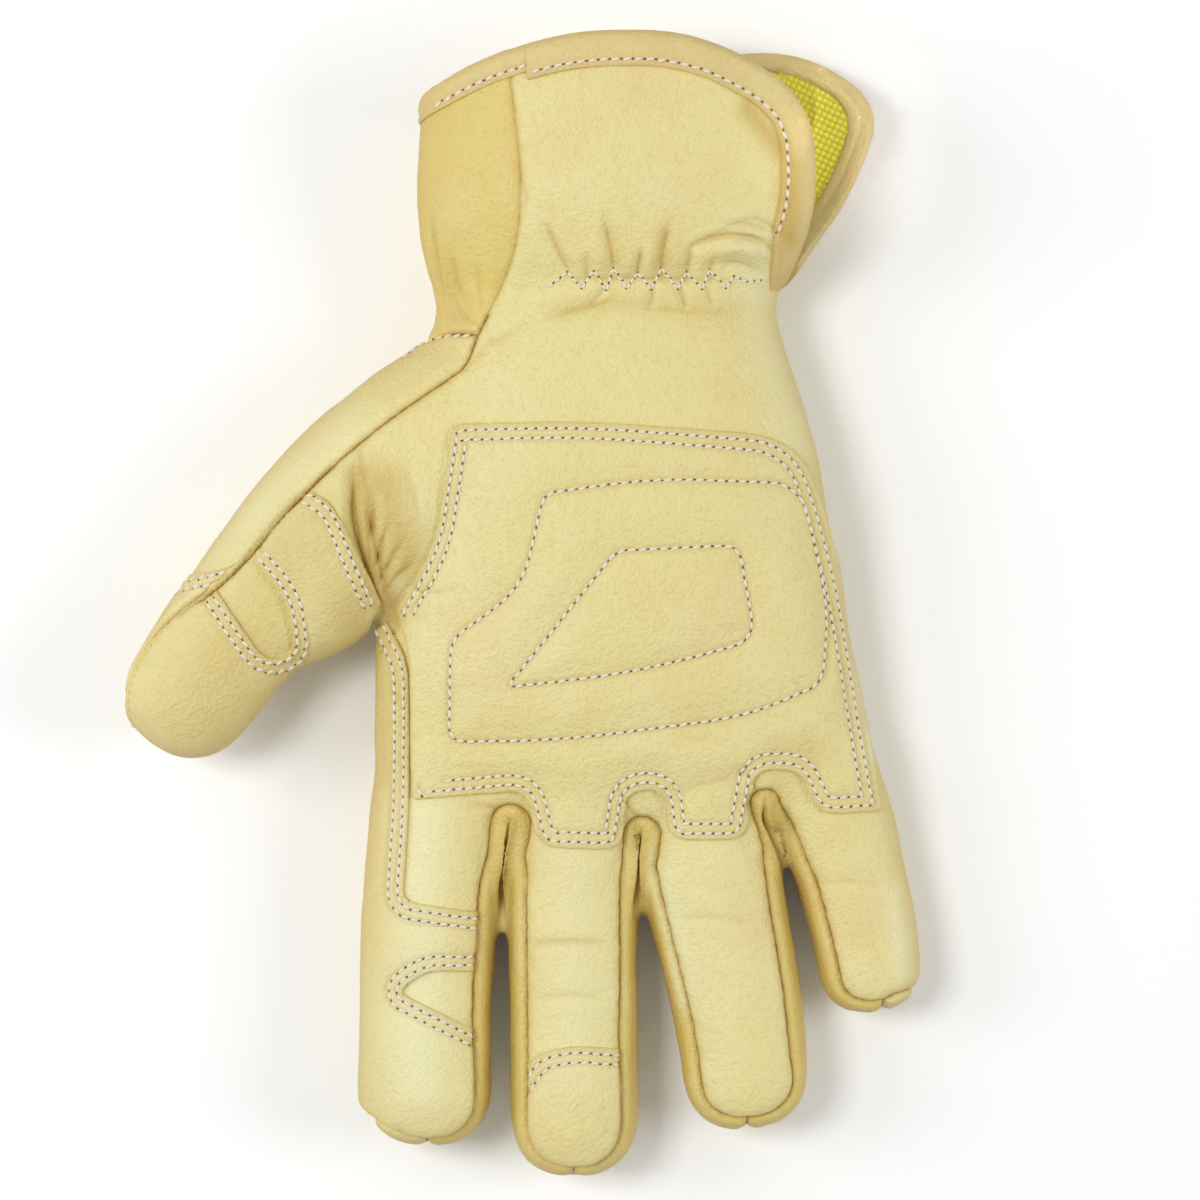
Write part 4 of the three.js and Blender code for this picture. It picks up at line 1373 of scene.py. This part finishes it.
class GLOVE_OT_side_pieces(bpy.types.Operator):
    """Cut and shape the thumb back, the cuff side and the strips between the fingers."""

    bl_idname = "glove.side_pieces"
    bl_label = "Side pieces"

    def execute(self, context):
        # The cuff side and the strips take the side leather, a darker copy painted as shade.
        for name, node, piece, tone in (
            ("thumb_back", "thumb_back_panel", THUMB_BACK, "leather"),
            ("cuff_side", "cuff_side_panel", SIDE, "side"),
            ("strip_index_middle", "fourchette_index_middle", STRIP_1, "side"),
            ("strip_middle_ring", "fourchette_middle_ring", STRIP_2, "side"),
            ("strip_ring_little", "fourchette_ring_little", STRIP_3, "side"),
        ):
            leather_piece(name, node, skin_of("palm").part(piece), materials_of()[tone])
        return {"FINISHED"}


class GLOVE_OT_overlays(bpy.types.Operator):
    """Lay the reinforcement patches on the palm, the fingers and the thumb, and sew them."""

    bl_idname = "glove.overlays"
    bl_label = "Overlays"

    def execute(self, context):
        palm = rounded(PALM_PATCH, closed=True)
        edge_rows = rows_beside(palm[::-1], (1.5, 3.7), True)
        palm_rows = [(open_side(line), False, pitch) for line, _, pitch in edge_rows]
        palm_rows += [(rounded(loop, True), True, LOOP_PITCH) for loop in (PALM_LOOP, PALM_INNER_LOOP)]
        _, tip, side = pad_seam(INDEX, PAD_INSET + 0.5, 2.4)
        index_edge = rounded(INDEX_PATCH_EDGE)
        index = np.concatenate([
            index_edge, np.concatenate([tip[6:], side])[::-1], [(-44, -113), (-44, -18), (-36, -8)],
        ])
        cutout = rounded(INDEX_CUTOUT)
        index_rows = rows_beside(index_edge, (-1.6, -3.8)) + rows_beside(cutout, (-1.4, -3.4))
        seam = rounded(THUMB_SEAM)
        thumb_edge = rounded(THUMB_PATCH_EDGE)
        thumb = np.concatenate([thumb_edge, [(-37, -9), (-70, -60)], seam[seam[:, 1] < 26][::-1]])
        thumb = shrink(thumb, 0.5)
        thumb_cutout = rounded(THUMB_CUTOUT)
        thumb_rows = rows_beside(thumb_edge, (-1.5, -3.6)) + rows_beside(thumb_cutout, (1.4, 3.4))
        pad = np.concatenate(pad_seam(MIDDLE, PAD_INSET + 0.3, 3))
        middle_edge = rounded(MIDDLE_TIP)
        middle = np.concatenate([middle_edge, pad[pad[:, 1] < -108][::-1]])
        middle_rows = rows_beside(middle_edge, (-1.5, -3.7))
        tip_edge = rounded(THUMB_BACK_TIP)
        near_tip = seam[(seam[:, 1] < 14) & (seam[:, 1] > -34)]
        thumb_back = shrink(np.concatenate([near_tip, [(-100, -34)], tip_edge[::-1]]), 0.5)
        tip_rows = rows_beside(tip_edge, (1.4, 3.5))
        overlays = table(
            ("name", "node", "outline", "holes", "lowest", "rows", "thick", "puff"),
            ("palm_overlay", "palm_patch", palm, [], 14, palm_rows, 1.3, 0.7),
            ("index_overlay", "index_patch", index, [cutout], 11, index_rows, 1.3, 0.5),
            ("thumb_overlay", "thumb_patch", thumb, [thumb_cutout], 20, thumb_rows, 1.3, 0.5),
            ("middle_tip_overlay", "middle_tip_patch", middle, [], 16, middle_rows, 1, 0.2),
            ("thumb_back_tip_overlay", "thumb_back_tip_patch", thumb_back, [], 20, tip_rows, 0.8, 0.1),
        )
        for one in overlays:
            overlay(**one)
        for one in overlays:
            sew(one["name"], one["rows"], [one["name"]])
        return {"FINISHED"}


class GLOVE_OT_cuff(bpy.types.Operator):
    """Fold the binding over the cuff's two edges, sew it, and line the cuff with woven cotton."""

    bl_idname = "glove.cuff"
    bl_label = "Cuff binding and lining"

    def execute(self, context):
        joint = BINDING["joint"]
        wide = BINDING["wide"]
        narrow = BINDING["narrow"]
        cuff_binding("front_edge_strip", "front_binding", "palm", FRONT_EDGE, (joint, 120), wide, 1.35, 5)
        cuff_binding("thumb_edge_strip", "front_binding", "palm", FRONT_EDGE, (-60, joint), narrow, 1, 4)
        cuff_binding("back_edge_strip", "back_binding", "back", BACK_EDGE, (-60, 120), wide, 1.15, 3)
        for name, node, side, flat, area in (
            ("front_weave", "front_lining", "palm", (0.106, 0.078), 0.0072),
            ("back_weave", "back_lining", "back", (0.109, 0.077), 0.0068),
        ):
            skin = skin_of(side)
            low = centres_of(skin.bm)[:, 1] < LINING_START
            bm = skin.faces_where(~(low | (skin.pieces == HIDDEN) | skin.beyond))
            closed_shell(bm, *LINING_DEPTH)
            piece = finish_piece(bm, name, [node], [materials_of()["cotton"]])
        wide_row = inset_line(rounded(FRONT_EDGE), BINDING["stitch"] - wide)
        wide_row = wide_row[(wide_row[:, 1] > 84) & (wide_row[:, 0] > joint)]
        narrow_row = inset_line(rounded(FRONT_EDGE), BINDING["stitch"] - narrow)
        narrow_row = narrow_row[narrow_row[:, 0] < joint]
        sew("front_edge", [(wide_row, False, CUFF_PITCH)], ["front_edge_strip"])
        sew("thumb_edge", [(narrow_row, False, CUFF_PITCH)], ["thumb_edge_strip"])
        return {"FINISHED"}


class GLOVE_OT_seams(bpy.types.Operator):
    """Sew the zigzag over the wrist elastic and the stitches of the thumb's seams."""

    bl_idname = "glove.seams"
    bl_label = "Seam stitches"

    def execute(self, context):
        legs = [(np.array(ZIGZAG[i:i + 2]), False, ZIGZAG_PITCH) for i in range(len(ZIGZAG) - 1)]
        sew("wrist_zigzag", legs, ["palm"], fine=0.82)
        tip_seam = rounded(THUMB_SEAM)
        tip_seam = tip_seam[(tip_seam[:, 1] < -4) & (tip_seam[:, 1] > -30)]
        sew("thumb_tip_seam", [(tip_seam, False, TIP_PITCH)], ["thumb_overlay"], 4, 0.6, "seam_thread", False)
        top_row = rounded(THUMB_TOP_ROW)
        sew("thumb_top", [(top_row, False, ROW_PITCH)], ["thumb_back", "cuff_side", "palm"])
        return {"FINISHED"}


# Stage

LIGHTS = table(
    ("name", "place", "aim", "size", "watts", "spread"),
    ("key", (-0.45, 0.1, 1.05), (0, 0, 0), 0.34, 4.8, 180),
    ("left fill", (-1.1, 0.2, 0.8), (0, 0, 0), 0.6, 4.7, 180),
    ("right fill", (1.1, 0, 0.8), (0, 0, 0), 0.6, 5.6, 180),
    ("lining spot", (0.074, 0.109, 0.6), (0.074, 0.109, 0), 0.03, 0.0012, 3.2),
)
CAMERA = {"place": (18.25 * MM, 0.23 * MM, 0.953), "lens": 120, "sensor": 36}
ROOM = 0.4  # strength of the light from all round
FLOOR = {"half": 3, "z": -0.0002}


def place_in_scene(name, data, place):
    made = bpy.data.objects.new(name, data)
    made.location = place
    bpy.context.scene.collection.objects.link(made)
    return made


class GLOVE_OT_stage(bpy.types.Operator):
    """Set the white floor, the soft lights and the camera straight above."""

    bl_idname = "glove.stage"
    bl_label = "Stage"

    def execute(self, context):
        scene = context.scene
        bm = bmesh.new()
        bmesh.ops.create_grid(bm, x_segments=1, y_segments=1, size=FLOOR["half"])
        mesh = bpy.data.meshes.new("floor")
        bm.to_mesh(mesh)
        bm.free()
        mesh.materials.append(plain_finish("matt white paper", "FFFFFF", 0.9))
        place_in_scene("floor", mesh, (0, 0, FLOOR["z"]))
        for light in LIGHTS:
            data = bpy.data.lights.new(light["name"], "AREA")
            data.shape = "SQUARE"
            data.size = light["size"]
            data.energy = light["watts"]
            data.spread = math.radians(light["spread"])
            lamp = place_in_scene(light["name"], data, light["place"])
            towards = Vector(light["aim"]) - Vector(light["place"])
            lamp.rotation_euler = towards.to_track_quat("-Z", "Y").to_euler()
        world = bpy.data.worlds.new("soft room")
        world.use_nodes = True
        background = world.node_tree.nodes["Background"]
        background.inputs["Color"].default_value = linear("FFFFFF")
        background.inputs["Strength"].default_value = ROOM
        scene.world = world
        data = bpy.data.cameras.new("above")
        data.lens = CAMERA["lens"]
        data.sensor_width = CAMERA["sensor"]
        scene.camera = place_in_scene("above", data, CAMERA["place"])
        scene.view_settings.view_transform = "Standard"
        return {"FINISHED"}


class GLOVE_PT_panel(bpy.types.Panel):
    """Lists the glove's steps and settings."""

    bl_idname = "GLOVE_PT_panel"
    bl_label = "Leather glove"
    bl_space_type = "VIEW_3D"
    bl_region_type = "UI"
    bl_category = "Glove"

    def draw(self, context):
        layout = self.layout
        for settings in (context.scene.glove_leather, context.scene.glove_thread):
            for name in settings.__annotations__:
                layout.prop(settings, name)
        for operator in OPERATORS:
            layout.operator(operator.bl_idname)


OPERATORS = (
    GLOVE_OT_palm,
    GLOVE_OT_back,
    GLOVE_OT_side_pieces,
    GLOVE_OT_overlays,
    GLOVE_OT_cuff,
    GLOVE_OT_seams,
    GLOVE_OT_stage,
)
CLASSES = (GloveLeather, GloveThread, *OPERATORS, GLOVE_PT_panel)


def register():
    for cls in CLASSES:
        bpy.utils.register_class(cls)
    bpy.types.Scene.glove_leather = bpy.props.PointerProperty(type=GloveLeather)
    bpy.types.Scene.glove_thread = bpy.props.PointerProperty(type=GloveThread)


def unregister():
    del bpy.types.Scene.glove_thread
    del bpy.types.Scene.glove_leather
    for cls in reversed(CLASSES):
        bpy.utils.unregister_class(cls)


def main():
    """Makes the glove piece by piece."""
    register()
    bpy.ops.glove.palm()
    bpy.ops.glove.back()
    bpy.ops.glove.side_pieces()
    bpy.ops.glove.overlays()
    bpy.ops.glove.cuff()
    bpy.ops.glove.seams()
    bpy.ops.glove.stage()
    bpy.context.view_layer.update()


if __name__ == "__main__":
    main()
